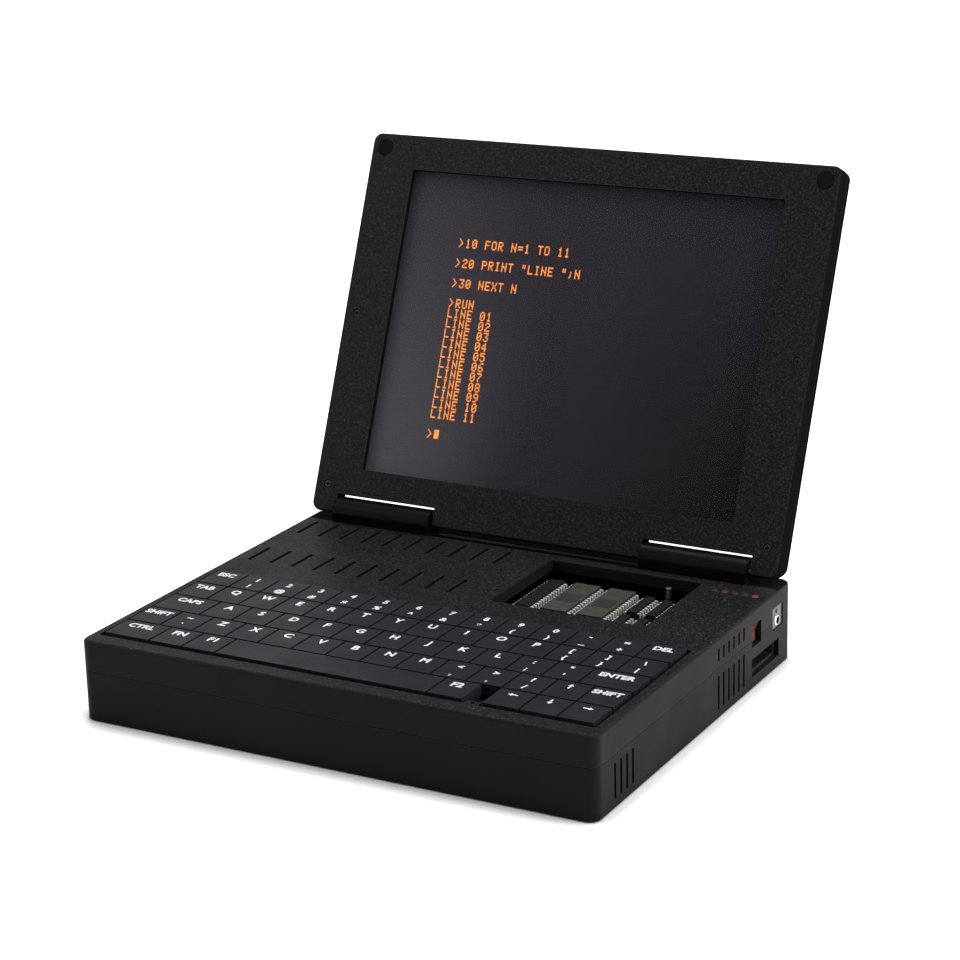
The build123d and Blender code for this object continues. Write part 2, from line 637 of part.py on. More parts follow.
def top_case():
    """Upper half of the case with the deck, the wells and the two hinge humps."""
    low = SEAM_HEIGHT + SEAM_REVEAL
    case = plate(case_outline(), low, DECK_HEIGHT)
    case = fillet(case.faces().sort_by(Axis.Z)[-1].edges(), DECK_EDGE_RADIUS)
    case -= plate(case_outline(CASE_WALL), low - 1, DECK_UNDERSIDE)
    rebate = CASE_WALL - TONGUE_THICKNESS - FIT_CLEARANCE
    case -= plate(case_outline(rebate), low - 1, SEAT_HEIGHT)
    for x, y in SCREW_SPOTS:
        case += rod(x, y, (SEAT_HEIGHT, DECK_UNDERSIDE + 1), BOSS_RADIUS)
    case += well_skirt()
    case -= plate(keyboard_well(), FRAME_TOP - 1, DECK_HEIGHT + 1)
    case += key_tab()
    case += window_collar()
    case -= window_cut()
    case -= deck_slots()
    for side in (-1, 1):
        case += hinge_hump(side)
    ridge_length = 2 * (HUMP_X - HUMP_LENGTH / 2)
    case += block(
        (-ridge_length / 2, ridge_length / 2),
        (HINGE_Y - RIDGE_LEAD, HINGE_Y - RIDGE_LEAD + RIDGE_DEPTH),
        (DECK_UNDERSIDE, DECK_HEIGHT + RIDGE_HEIGHT),
    )
    for side in (-1, 1):
        reach = (side * HUMP_X - HUMP_LENGTH, side * HUMP_X + HUMP_LENGTH)
        case -= cross_rod(reach, HINGE_Y, HINGE_Z, HINGE_PIN_RADIUS + PIN_RUNNING_CLEARANCE)
    for x, y in lamp_spots():
        case -= rod(x, y, (DECK_UNDERSIDE - 1, DECK_HEIGHT + 1), LAMP_RADIUS + PIN_RUNNING_CLEARANCE)
    pilot = SCREW_RADIUS + PILOT_CLEARANCE
    for x, y in SCREW_SPOTS:
        case -= rod(x, y, (SEAT_HEIGHT - 1, SCREW_SEAT_HEIGHT + SCREW_LENGTH + 1), pilot)
    upper_low = SEAM_HEIGHT + UPPER_VENT_RISE
    case -= wall_slots(VENT_START_Y, VENT_COUNT, upper_low, DECK_HEIGHT - UPPER_VENT_DROP)
    case -= switch_hole()
    case -= panel_hole()
    return case


def indicator_lamps():
    """Row of domed lamps, each with a flange under the deck."""
    lamps = []
    for x, y in lamp_spots():
        stem = rod(x, y, (DECK_HEIGHT - LAMP_LENGTH, DECK_HEIGHT + LAMP_PROUD), LAMP_RADIUS)
        stem = chamfer(stem.edges().sort_by(Axis.Z)[-1], LAMP_BEVEL)
        flange_span = (DECK_HEIGHT - LAMP_LENGTH, DECK_UNDERSIDE)
        lamps.append(stem + rod(x, y, flange_span, LAMP_RADIUS + LAMP_FLANGE))
    return Compound(children=lamps)


def row_places():
    """Every place of the keyboard as node, middle x, middle y and width; the empty place has no node."""
    places = []
    for row, groups in enumerate(KEY_ROW_COUNTS):
        y = KEYBOARD_REAR_Y - (row + 0.5) * KEY_PITCH_Y
        left = -KEYBOARD_WIDTH / 2
        for node, units, count in groups:
            width = units * KEY_PITCH_X
            places += [(node, left + (i + 0.5) * width, y, width) for i in range(count)]
            left += count * width
    return places


def place_keys():
    """The places that hold a key."""
    return [place for place in row_places() if place[0]]


def stem_spots(x, width):
    """Middles of the stems under a key: one, or three under a long bar."""
    if width > 2 * STEM_SPREAD:
        return [x - STEM_SPREAD, x, x + STEM_SPREAD]
    return [x]


def key_cap(x, y, width):
    """Hollow cap with drafted sides, on one or more square stems."""
    spot = Pos(x, y)
    outer = spot * Rectangle(width - KEY_GAP, KEY_PITCH_Y - KEY_GAP)
    inner = spot * Rectangle(width - KEY_GAP - 2 * CAP_WALL, KEY_PITCH_Y - KEY_GAP - 2 * CAP_WALL)
    cap = plate(outer, CAP_BOTTOM, KEY_TOP, taper=CAP_DRAFT)
    cap -= plate(inner, CAP_BOTTOM, KEY_TOP - CAP_ROOF, taper=CAP_DRAFT)
    half = STEM_SIZE / 2
    for stem_x in stem_spots(x, width):
        cap += block(
            (stem_x - half, stem_x + half), (y - half, y + half), (STEM_BOTTOM, KEY_TOP - CAP_ROOF / 2)
        )
    return cap


def stem_grid(size):
    """Squares about every stem, as one flat sketch."""
    squares = [
        Pos(stem_x, y) * Rectangle(size, size)
        for _, x, y, width in place_keys()
        for stem_x in stem_spots(x, width)
    ]
    return Sketch() + squares


def key_frame():
    """Plate with a guide sleeve for every stem and a wall down to the back plate."""
    hole = STEM_SIZE + 2 * STEM_CLEARANCE
    holes = stem_grid(hole)
    sleeves = stem_grid(hole + 2 * GUIDE_WALL)
    plan = Pos(0, FRAME_CENTER_Y) * Rectangle(FRAME_WIDTH, FRAME_DEPTH)
    inside = Pos(0, FRAME_CENTER_Y) * Rectangle(FRAME_WIDTH - 2 * FRAME_WALL, FRAME_DEPTH - 2 * FRAME_WALL)
    low = FRAME_TOP - FRAME_PLATE
    frame = plate(plan - holes, low, FRAME_TOP)
    frame += plate(sleeves - holes, low - GUIDE_DEPTH, low)
    return frame + plate(plan - inside, BACKPLATE_TOP, low)


def key_membrane():
    """Contact sheet under the stems."""
    width = FRAME_WIDTH - 2 * FRAME_WALL - 2 * FIT_CLEARANCE
    depth = FRAME_DEPTH - 2 * FRAME_WALL - 2 * FIT_CLEARANCE
    return plate(Pos(0, FRAME_CENTER_Y) * Rectangle(width, depth), BACKPLATE_TOP, MEMBRANE_TOP)


def key_backplate():
    """Steel plate that closes the keyboard from below."""
    outline = Pos(0, FRAME_CENTER_Y) * Rectangle(FRAME_WIDTH, FRAME_DEPTH)
    return plate(outline, BACKPLATE_BOTTOM, BACKPLATE_TOP)


def main_board_posts():
    """Plan positions of the posts under the main board."""
    x = HALF_WIDTH - MAIN_BOARD_SIDE_GAP - CASE_WALL - STANDOFF_INSET
    y = HALF_DEPTH - MAIN_BOARD_REAR_GAP - CASE_WALL - STANDOFF_INSET
    inner_x = MAIN_BOARD_STEP_X + STANDOFF_INSET
    inner_y = MAIN_BOARD_STEP_Y + STANDOFF_INSET
    return [(-x, y), (x, y), (-x, inner_y), (x, inner_y), (inner_x, -y), (x, -y)]


def main_board():
    """Main circuit board, stepped round the battery."""
    x = HALF_WIDTH - MAIN_BOARD_SIDE_GAP - CASE_WALL
    y = HALF_DEPTH - MAIN_BOARD_REAR_GAP - CASE_WALL
    outline = Polyline(
        (-x, y),
        (x, y),
        (x, -y),
        (MAIN_BOARD_STEP_X, -y),
        (MAIN_BOARD_STEP_X, MAIN_BOARD_STEP_Y),
        (-x, MAIN_BOARD_STEP_Y),
        close=True,
    )
    return plate(make_face(outline), MAIN_BOARD_BOTTOM, MAIN_BOARD_TOP)


def processor_chips():
    """Square chips on the main board, each with one cut corner."""
    chips = []
    for side_inset, rear_inset in PROCESSOR_INSETS:
        x = HALF_WIDTH - side_inset
        y = HALF_DEPTH - rear_inset
        chip = plate(
            Pos(x, y) * Rectangle(PROCESSOR_SIZE, PROCESSOR_SIZE),
            MAIN_BOARD_TOP,
            MAIN_BOARD_TOP + PROCESSOR_HEIGHT,
        )
        corner = chip.edges().filter_by(Axis.Z).sort_by(Axis.X)[0]
        chips.append(chamfer(corner, PROCESSOR_SIZE / 12))
    return Compound(children=chips)


def upper_board_spans():
    """Limits of the upper board in X and in Y, set out from the window."""
    x_span = (
        WINDOW_X - WINDOW_WIDTH / 2 - UPPER_BOARD_LEFT_MARGIN,
        WINDOW_X + WINDOW_WIDTH / 2 + UPPER_BOARD_RIGHT_MARGIN,
    )
    y_span = (
        WINDOW_Y - WINDOW_LENGTH / 2 - UPPER_BOARD_FRONT_MARGIN,
        WINDOW_Y + WINDOW_LENGTH / 2 + UPPER_BOARD_REAR_MARGIN,
    )
    return x_span, y_span


def upper_board():
    """Circuit board under the chip window."""
    return block(*upper_board_spans(), (UPPER_BOARD_BOTTOM, UPPER_BOARD_TOP))


def board_standoffs():
    """Six-sided pillars that carry the upper board on the main board."""
    pillar = RegularPolygon(STANDOFF_RADIUS, 6)
    (left, right), (front, rear) = upper_board_spans()
    return Compound(
        children=[
            plate(Pos(x, y) * pillar, MAIN_BOARD_TOP, UPPER_BOARD_BOTTOM)
            for x in (left + STANDOFF_INSET, right - STANDOFF_INSET)
            for y in (front + STANDOFF_INSET, rear - STANDOFF_INSET)
        ]
    )


def placed_chips():
    """Every chip as name, middle x, middle y, legs a side and spacing of its rows of legs."""
    return [(name, WINDOW_X + x, WINDOW_Y + y, *CHIP_KINDS[kind]) for name, kind, x, y in CHIPS]


def chip_length(legs):
    """Length of a chip's body from its number of legs a side."""
    return (legs - 1) * PIN_PITCH + 2 * CHIP_END


def chip_body(x, y, legs, row_spacing):
    """Moulded chip with drafted sides and a half-round notch at its rear end."""
    outline = Pos(x, y) * Rectangle(row_spacing - 2 * CHIP_SIDE_GAP, chip_length(legs))
    body = plate(outline, CHIP_BOTTOM, CHIP_TOP, taper=CHIP_DRAFT)
    rear = y + chip_length(legs) / 2
    return body - rod(x, rear, (CHIP_TOP - CHIP_HEIGHT / 3, CHIP_TOP + 1), CHIP_NOTCH_RADIUS)


def chip_pin(x, y, side):
    """Leg with a flat shoulder, bent down into its socket."""
    shoulder_z = CHIP_BOTTOM + CHIP_HEIGHT * PIN_SHOULDER_SHARE
    outside = x + side * PIN_THICKNESS / 2
    inside = x - side * PIN_THICKNESS / 2
    root = x - side * CHIP_SIDE_GAP
    outline = Polyline(
        (outside, SOCKET_STRIP_TOP),
        (outside, shoulder_z),
        (root, shoulder_z),
        (root, shoulder_z - PIN_THICKNESS),
        (inside, shoulder_z - PIN_THICKNESS),
        (inside, SOCKET_STRIP_TOP),
        close=True,
    )
    blade = Plane.XZ.offset(-y) * make_face(outline)
    return extrude(blade, PIN_WIDTH / 2, both=True)


def chip_legs(x, y, legs, row_spacing):
    """Both rows of legs of one chip, kept off the drafted body by cutting it away."""
    first = y - (legs - 1) * PIN_PITCH / 2
    body = chip_body(x, y, legs, row_spacing)
    pins = [
        chip_pin(x + side * row_spacing / 2, first + i * PIN_PITCH, side)
        for side in (-1, 1)
        for i in range(legs)
    ]
    return [pin - body for pin in pins]


def chip_pins():
    """All the bright metal legs."""
    return Compound(children=[pin for _, *chip in placed_chips() for pin in chip_legs(*chip)])


def chip_sockets():
    """Socket frames that the chips are pushed into."""
    frames = []
    for _, x, y, legs, row_spacing in placed_chips():
        length = chip_length(legs)
        width = row_spacing + PIN_PITCH * 0.7
        outer = Pos(x, y) * Rectangle(width, length)
        inner = Pos(x, y) * Rectangle(width - 2 * PIN_PITCH, length - 2 * PIN_PITCH)
        frames.append(plate(outer - inner, UPPER_BOARD_TOP, SOCKET_STRIP_TOP))
    return Compound(children=frames)


def chips_named(name):
    """Chip bodies that share one name."""
    bodies = [chip_body(*chip) for label, *chip in placed_chips() if label == name]
    return bodies[0] if len(bodies) == 1 else Compound(children=bodies)


def crystal_can():
    """Tall metal can of the clock crystal, standing on the upper board."""
    width, length = CRYSTAL_SIZE
    x, y = CRYSTAL_PLACE
    outline = centered_outline(WINDOW_X + x, WINDOW_Y + y, width, length, length * 0.45)
    can = plate(outline, UPPER_BOARD_TOP, UPPER_BOARD_TOP + CRYSTAL_HEIGHT)
    return chamfer(can.faces().sort_by(Axis.Z)[-1].edges(), CRYSTAL_BEVEL)


def battery_pack():
    """Row of round cells, joined side by side."""
    pack = None
    first = BATTERY_X - (CELL_COUNT - 1) * CELL_RADIUS
    center_z = FLOOR_TOP + CELL_RADIUS
    for i in range(CELL_COUNT):
        cell = Pos(first + i * 2 * CELL_RADIUS, BATTERY_Y, center_z)
        cell *= Rot(90, 0, 0) * Cylinder(CELL_RADIUS, CELL_LENGTH)
        pack = cell if pack is None else pack + cell
    half_pack = CELL_COUNT * CELL_RADIUS - CELL_RADIUS
    web = block(
        (BATTERY_X - half_pack, BATTERY_X + half_pack),
        (BATTERY_Y - CELL_LENGTH / 2, BATTERY_Y + CELL_LENGTH / 2),
        (center_z - CELL_RADIUS / 2, center_z + CELL_RADIUS / 2),
    )
    return pack + web


def speaker():
    """Round loudspeaker held against the underside of the deck."""
    top = DECK_UNDERSIDE
    flange = top - SPEAKER_FLANGE
    bottom = top - SPEAKER_DEPTH
    profile = Polyline(
        (0, bottom),
        (SPEAKER_MAGNET_RADIUS, bottom),
        (SPEAKER_MAGNET_RADIUS, bottom + SPEAKER_DEPTH * 0.4),
        (SPEAKER_RADIUS - SPEAKER_RIM, flange),
        (SPEAKER_RADIUS, flange),
        (SPEAKER_RADIUS, top),
        (SPEAKER_RADIUS - SPEAKER_RIM, top),
        (SPEAKER_MAGNET_RADIUS / 2, top - SPEAKER_DEPTH * 0.45),
        (0, top - SPEAKER_DEPTH * 0.3),
        close=True,
    )
    return Pos(SPEAKER_X, SPEAKER_Y) * revolve(Plane.XZ * make_face(profile), Axis.Z)


def switch_frame():
    """Housing of the power switch, fixed behind the wall."""
    outer = SWITCH_OPENING / 2 + SWITCH_FRAME_WALL
    inner = SWITCH_OPENING / 2
    back = WALL_INSIDE_X - SWITCH_DEPTH
    y_outer = (SWITCH_Y - outer, SWITCH_Y + outer)
    z_outer = (SWITCH_Z - outer, SWITCH_Z + outer)
    body = block((back, WALL_INSIDE_X - TONGUE_THICKNESS - FIT_CLEARANCE), y_outer, z_outer)
    y_inner = (SWITCH_Y - inner, SWITCH_Y + inner)
    body += block((back, WALL_INSIDE_X), y_inner, (SEAT_HEIGHT, SWITCH_Z + inner))
    body -= block(
        (back + SWITCH_FRAME_WALL, HALF_WIDTH), y_inner, (SWITCH_Z - inner, SWITCH_Z + inner)
    )
    pivot = Pos(rocker_pivot_x(), SWITCH_Y, SWITCH_Z) * Rot(90, 0, 0)
    return body - pivot * Cylinder(ROCKER_PIVOT_RADIUS + PIN_RUNNING_CLEARANCE, 2 * outer + 1)


def rocker_pivot_x():
    """Distance of the rocker's pivot from the middle of the case."""
    return HALF_WIDTH - SWITCH_RECESS - ROCKER_THICKNESS


def switch_rocker():
    """Rocker with a dished face and a pivot pin at each side, tipped to one end of its travel."""
    half = SWITCH_OPENING / 2 - 2 * ROCKER_CLEARANCE - ROCKER_THICKNESS / 12
    face = ROCKER_THICKNESS - ROCKER_DISH
    paddle = make_face(
        Polyline(
            (-1.5, -half * 0.5),
            (ROCKER_THICKNESS, -half),
            (face, 0),
            (ROCKER_THICKNESS, half),
            (-1.5, half * 0.5),
            close=True,
        )
    )
    width = SWITCH_OPENING - 2 * ROCKER_CLEARANCE
    rocker = extrude(Plane.XZ * paddle, width / 2, both=True)
    reach = SWITCH_OPENING + 2 * SWITCH_FRAME_WALL - 0.4
    rocker += Rot(90, 0, 0) * Cylinder(ROCKER_PIVOT_RADIUS, reach)
    return Pos(rocker_pivot_x(), SWITCH_Y, SWITCH_Z) * Rot(0, ROCKER_TILT, 0) * rocker


def expansion_socket():
    """Socket on the main board, with its throat open through the wall."""
    front = HALF_WIDTH - SOCKET_RECESS
    back = front - SOCKET_DEPTH
    half = SOCKET_WIDTH / 2
    top = MAIN_BOARD_TOP + SOCKET_HEIGHT
    socket = block((back, front), (SOCKET_Y - half, SOCKET_Y + half), (MAIN_BOARD_TOP, top))
    socket = fillet(socket.edges().filter_by(Axis.X), 0.8)
    throat = block(
        (front - SOCKET_THROAT, front + 1),
        (SOCKET_Y - half + SOCKET_SHELL, SOCKET_Y + half - SOCKET_SHELL),
        (MAIN_BOARD_TOP + SOCKET_SHELL, top - SOCKET_SHELL),
    )
    return socket - throat


def jack_z():
    """Height of the jack's bore."""
    return PANEL_Z - JACK_DROP


def jack_panel():
    """Metal panel in the wall with a flange behind it, pierced for the jack and a screw."""
    front = HALF_WIDTH - PANEL_RECESS
    half_width = PANEL_WIDTH / 2
    half_height = PANEL_HEIGHT / 2
    seat = WALL_INSIDE_X - TONGUE_THICKNESS - FIT_CLEARANCE
    panel = block(
        (seat - PANEL_FLANGE_THICKNESS, front),
        (PANEL_Y - half_width, PANEL_Y + half_width),
        (PANEL_Z - half_height, PANEL_Z + half_height),
    )
    panel += block(
        (seat - PANEL_FLANGE_THICKNESS, seat),
        (PANEL_Y - half_width - PANEL_FLANGE, PANEL_Y + half_width + PANEL_FLANGE),
        (PANEL_Z - half_height - PANEL_FLANGE, PANEL_Z + half_height + PANEL_FLANGE),
    )
    reach = (seat - PANEL_FLANGE_THICKNESS - 1, HALF_WIDTH + 1)
    panel -= cross_rod(reach, PANEL_Y, jack_z(), JACK_COLLAR_RADIUS + PIN_RUNNING_CLEARANCE)
    screw_z = PANEL_Z + PANEL_SCREW_RISE
    return panel - cross_rod(reach, PANEL_Y, screw_z, PANEL_SCREW_RADIUS + PILOT_CLEARANCE)


def panel_screw():
    """Small round-headed screw on the jack panel."""
    front = HALF_WIDTH - PANEL_RECESS
    z = PANEL_Z + PANEL_SCREW_RISE
    head = cross_rod((front, front + PANEL_SCREW_HEAD_HEIGHT), PANEL_Y, z, PANEL_SCREW_HEAD_RADIUS)
    return head + cross_rod((front - PANEL_SCREW_LENGTH, front), PANEL_Y, z, PANEL_SCREW_RADIUS)


def audio_jack():
    """Jack with a round collar through the panel and a blind bore."""
    seat = WALL_INSIDE_X - TONGUE_THICKNESS - FIT_CLEARANCE - PANEL_FLANGE_THICKNESS
    half = JACK_BODY_SIZE / 2
    z = jack_z()
    body = block((seat - JACK_DEPTH, seat), (PANEL_Y - half, PANEL_Y + half), (z - half, z + half))
    collar = cross_rod((seat - 1, HALF_WIDTH), PANEL_Y, z, JACK_COLLAR_RADIUS)
    jack = body + chamfer(collar.edges().sort_by(Axis.X)[-1], JACK_COLLAR_BEVEL)
    reach = (seat - JACK_DEPTH + JACK_END_WALL, HALF_WIDTH + 1)
    return jack - cross_rod(reach, PANEL_Y, z, JACK_BORE_RADIUS)


def notch_cuts(margin=0.0):
    """Two notches in the hinge edge of the lid that clear the humps, with a margin at their ends."""
    half = NOTCH_LENGTH / 2 + margin
    return [
        block(
            (side * HUMP_X - half, side * HUMP_X + half),
            (NOTCH_FRONT_Y, LID_REAR_Y + 1),
            (LID_FACE_Z - 1, LID_BACK_Z + 1),
        )
        for side in (-1, 1)
    ]


def rear_bevel():
    """Wedge cut from the outer hinge edge, which lets the lid tip back over the deck."""
    wedge = Polyline(
        (LID_REAR_Y + 1, LID_BACK_Z - REAR_BEVEL_HEIGHT),
        (LID_REAR_Y, LID_BACK_Z - REAR_BEVEL_HEIGHT),
        (LID_REAR_Y - REAR_BEVEL, LID_BACK_Z),
        (LID_REAR_Y - REAR_BEVEL, LID_BACK_Z + 1),
        (LID_REAR_Y + 1, LID_BACK_Z + 1),
        close=True,
    )
    return extrude(Plane.YZ * make_face(wedge), LID_WIDTH, both=True)


def lid_cavity(low, high, taper=0):
    """Hollow of the lid, from its front wall to the solid hinge rail."""
    front = LID_FRONT_Y + LID_WALL
    length = RAIL_FRONT_Y - front
    outline = centered_outline(
        0, front + length / 2, LID_WIDTH - 2 * LID_WALL, length, max(LID_CORNER_RADIUS - LID_WALL, 0.6)
    )
    return plate(outline, low, high, taper=taper)


def lid_screw_spots():
    """Plan positions of the lid screws."""
    x = LID_WIDTH / 2 - LID_SCREW_SIDE_INSET
    ys = (LID_FRONT_Y + LID_SCREW_MIDDLE_INSET, LID_REAR_Y - LID_SCREW_REAR_INSET)
    return [(side * x, y) for side in (-1, 1) for y in ys]


def bumper_spots():
    """Plan positions of the two lid bumpers."""
    x = LID_WIDTH / 2 - BUMPER_SIDE_INSET
    return [(side * x, LID_FRONT_Y + BUMPER_EDGE_INSET) for side in (-1, 1)]


def lid_bezel():
    """Front frame of the lid with the screen opening, the hinge rail and its pin seats."""
    bezel = plate(lid_outline(), LID_FACE_Z, LID_SEAM_Z)
    bezel = fillet(bezel.faces().sort_by(Axis.Z)[0].edges(), LID_EDGE_RADIUS)
    bezel -= lid_cavity(GLASS_FACE_Z, LID_SEAM_Z + 1)
    opening = centered_outline(0, SCREEN_Y, SCREEN_WIDTH, SCREEN_LENGTH, SCREEN_CORNER_RADIUS)
    bezel -= plate(opening, LID_FACE_Z - 1, GLASS_FACE_Z + 1)
    bezel -= notch_cuts()
    bezel -= rear_bevel()
    for side in (-1, 1):
        half = NOTCH_LENGTH / 2 + HINGE_PIN_ENGAGEMENT + FIT_CLEARANCE
        reach = (side * HUMP_X - half, side * HUMP_X + half)
        bezel -= cross_rod(reach, HINGE_Y, HINGE_Z, HINGE_PIN_RADIUS + PIN_SEAT_CLEARANCE)
    head = LID_SCREW_HEAD_RADIUS + FIT_CLEARANCE
    for x, y in lid_screw_spots():
        bezel -= rod(x, y, (GLASS_FACE_Z, LID_SEAM_Z + 1), LID_BOSS_RADIUS + FIT_CLEARANCE)
        bezel -= rod(x, y, (LID_FACE_Z - 1, LID_FACE_Z + LID_SCREW_HEAD_HEIGHT + 0.2), head)
        bezel -= rod(x, y, (LID_FACE_Z - 1, LID_SEAM_Z), LID_SCREW_RADIUS + FIT_CLEARANCE)
    for x, y in bumper_spots():
        recess = (LID_FACE_Z - 1, LID_FACE_Z + BUMPER_RECESS)
        bezel -= rod(x, y, recess, BUMPER_RADIUS + FIT_CLEARANCE)
    return bezel


def lid_cover():
    """Back cover of the lid with sloping sides, screw bosses and ribs behind the display."""
    cover = plate(lid_outline(), LID_SEAM_Z, LID_BACK_Z, taper=COVER_TAPER)
    cover = fillet(cover.faces().sort_by(Axis.Z)[-1].edges(), LID_BACK_RADIUS)
    cover -= lid_cavity(LID_SEAM_Z - 1, COVER_INSIDE_Z, taper=COVER_TAPER / 2)
    cover -= notch_cuts(COVER_NOTCH_MARGIN)
    cover -= rear_bevel()
    for i in range(COVER_RIB_COUNT):
        y = LID_FRONT_Y + COVER_RIB_INSET + i * COVER_RIB_PITCH
        cover += block(
            (-COVER_RIB_LENGTH / 2, COVER_RIB_LENGTH / 2),
            (y - COVER_RIB_WALL / 2, y + COVER_RIB_WALL / 2),
            (LCD_BACK_Z, COVER_INSIDE_Z + 1),
        )
    for x, y in lid_screw_spots():
        cover += rod(x, y, (GLASS_FACE_Z, COVER_INSIDE_Z + 1), LID_BOSS_RADIUS)
    for x, y in lid_screw_spots():
        tip = LID_FACE_Z + LID_SCREW_HEAD_HEIGHT + LID_SCREW_LENGTH
        cover -= rod(x, y, (GLASS_FACE_Z - 1, tip + 0.5), LID_SCREW_RADIUS + PILOT_CLEARANCE)
    return cover


def lid_screws():
    """Small screws through the bezel into the back cover."""
    screws = []
    for x, y in lid_screw_spots():
        seat = LID_FACE_Z + LID_SCREW_HEAD_HEIGHT + 0.2
        head = rod(x, y, (seat - LID_SCREW_HEAD_HEIGHT, seat), LID_SCREW_HEAD_RADIUS)
        screws.append(head + rod(x, y, (seat - 0.3, seat + LID_SCREW_LENGTH), LID_SCREW_RADIUS))
    return Compound(children=screws)


def lid_bumpers():
    """Round rubber bumpers in the free corners of the bezel."""
    bumpers = []
    for x, y in bumper_spots():
        bumper = rod(x, y, (LID_FACE_Z - BUMPER_PROUD, LID_FACE_Z + BUMPER_RECESS), BUMPER_RADIUS)
        bumpers.append(chamfer(bumper.edges().sort_by(Axis.Z)[0], BUMPER_BEVEL))
    return Compound(children=bumpers)


def screen_glass():
    """Window behind the bezel's opening."""
    outline = Pos(0, SCREEN_Y) * Rectangle(SCREEN_WIDTH + 2 * GLASS_LAP, SCREEN_LENGTH + 2 * GLASS_LAP)
    return plate(outline, GLASS_FACE_Z, LCD_FACE_Z)


def display_panel():
    """Liquid crystal display module."""
    outline = Pos(0, SCREEN_Y) * Rectangle(DISPLAY_WIDTH, DISPLAY_LENGTH)
    return plate(outline, LCD_FACE_Z, LCD_BACK_Z)


def display_board():
    """Driver board on the back of the display."""
    y = SCREEN_Y + (DISPLAY_LENGTH - DISPLAY_BOARD_LENGTH) / 2 - DISPLAY_BOARD_EDGE_GAP
    outline = Pos(0, y) * Rectangle(DISPLAY_WIDTH - 2 * DISPLAY_BOARD_SIDE_GAP, DISPLAY_BOARD_LENGTH)
    return plate(outline, LCD_BACK_Z, LCD_BACK_Z + DISPLAY_BOARD_THICKNESS)


def hinge_pin(side):
    """Steel pin through one hump, seated in the rail at both ends."""
    half = NOTCH_LENGTH / 2 + HINGE_PIN_ENGAGEMENT
    pin = cross_rod((side * HUMP_X - half, side * HUMP_X + half), HINGE_Y, HINGE_Z, HINGE_PIN_RADIUS)
    return chamfer(pin.edges().filter_by(GeomType.CIRCLE), HINGE_PIN_BEVEL)


def key_nodes():
    """Keys gathered under their nodes' names."""
    nodes = {}
    for node, x, y, width in place_keys():
        nodes.setdefault(node, []).append(key_cap(x, y, width))
    return {node: caps[0] if len(caps) == 1 else Compound(children=caps) for node, caps in nodes.items()}


BASE_PARTS = {
    "bottom_shell": bottom_shell,
    "top_case": top_case,
    "rubber_feet": rubber_feet,
    "case_screws": case_screws,
    "main_board": main_board,
    "processor_chips": processor_chips,
    "upper_board": upper_board,
    "board_standoffs": board_standoffs,
    "chip_sockets": chip_sockets,
    "chip_pins": chip_pins,
    "crystal_can": crystal_can,
    "battery_pack": battery_pack,
    "speaker": speaker,
    "key_frame": key_frame,
    "key_membrane": key_membrane,
    "key_backplate": key_backplate,
    "indicator_lamps": indicator_lamps,
    "switch_frame": switch_frame,
    "switch_rocker": switch_rocker,
    "expansion_socket": expansion_socket,
    "jack_panel": jack_panel,
    "panel_screw": panel_screw,
    "audio_jack": audio_jack,
}
LID_PARTS = {
    "lid_bezel": lid_bezel,
    "lid_cover": lid_cover,
    "lid_screws": lid_screws,
    "lid_bumpers": lid_bumpers,
    "screen_glass": screen_glass,
    "display_panel": display_panel,
    "display_board": display_board,
    "hinge_pin_left": lambda: hinge_pin(-1),
    "hinge_pin_right": lambda: hinge_pin(1),
}


def all_parts():
    """Every sub-part in its place, with the lid turned open."""
    parts = {name: make() for name, make in BASE_PARTS.items()}
    for name in dict.fromkeys(chip[0] for chip in CHIPS):
        parts[name] = chips_named(name)
    parts.update(key_nodes())
    for name, make in LID_PARTS.items():
        parts[name] = make().rotate(HINGE_AXIS, -OPEN_ANGLE)
    return parts


os.makedirs("parts", exist_ok=True)
for part_name, solid in all_parts().items():
    export_step(solid, f"parts/{part_name}.step")
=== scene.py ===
"""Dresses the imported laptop: grained plastics, lettered keys, a lit display, lamps, chips and studio light."""

import json
import logging
import math
from dataclasses import dataclass, field, fields
from enum import Enum

import bpy
import numpy as np
from mathutils import Euler, Matrix, Vector

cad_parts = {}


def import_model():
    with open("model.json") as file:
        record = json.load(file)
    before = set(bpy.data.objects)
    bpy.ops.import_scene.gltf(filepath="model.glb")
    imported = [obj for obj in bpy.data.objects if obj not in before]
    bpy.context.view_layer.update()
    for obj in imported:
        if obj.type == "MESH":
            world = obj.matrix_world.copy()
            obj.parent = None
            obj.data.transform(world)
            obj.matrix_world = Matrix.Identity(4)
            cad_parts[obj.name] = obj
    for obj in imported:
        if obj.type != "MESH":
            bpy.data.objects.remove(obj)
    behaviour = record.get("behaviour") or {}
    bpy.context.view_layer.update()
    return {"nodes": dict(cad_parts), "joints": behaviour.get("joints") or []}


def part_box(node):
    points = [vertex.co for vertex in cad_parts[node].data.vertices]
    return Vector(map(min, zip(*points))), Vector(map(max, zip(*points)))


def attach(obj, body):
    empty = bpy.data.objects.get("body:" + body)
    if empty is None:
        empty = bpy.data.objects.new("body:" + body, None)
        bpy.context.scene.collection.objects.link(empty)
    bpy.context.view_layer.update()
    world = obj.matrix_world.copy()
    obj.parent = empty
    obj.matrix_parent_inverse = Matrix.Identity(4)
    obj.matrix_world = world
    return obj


LOG = logging.getLogger("laptop")
MM = 0.001
SINK = 0.005 * MM

Colour = tuple[float, float, float]
Direction = tuple[float, float, float]
Socket = bpy.types.NodeSocket
Value = float | tuple[float, ...] | Socket

BLACK: Colour = (0.0, 0.0, 0.0)
WHITE: Colour = (1.0, 1.0, 1.0)
DUST_COLOUR: Colour = (0.2, 0.2, 0.19)
KEY_DUST_COLOUR: Colour = (0.22, 0.22, 0.21)


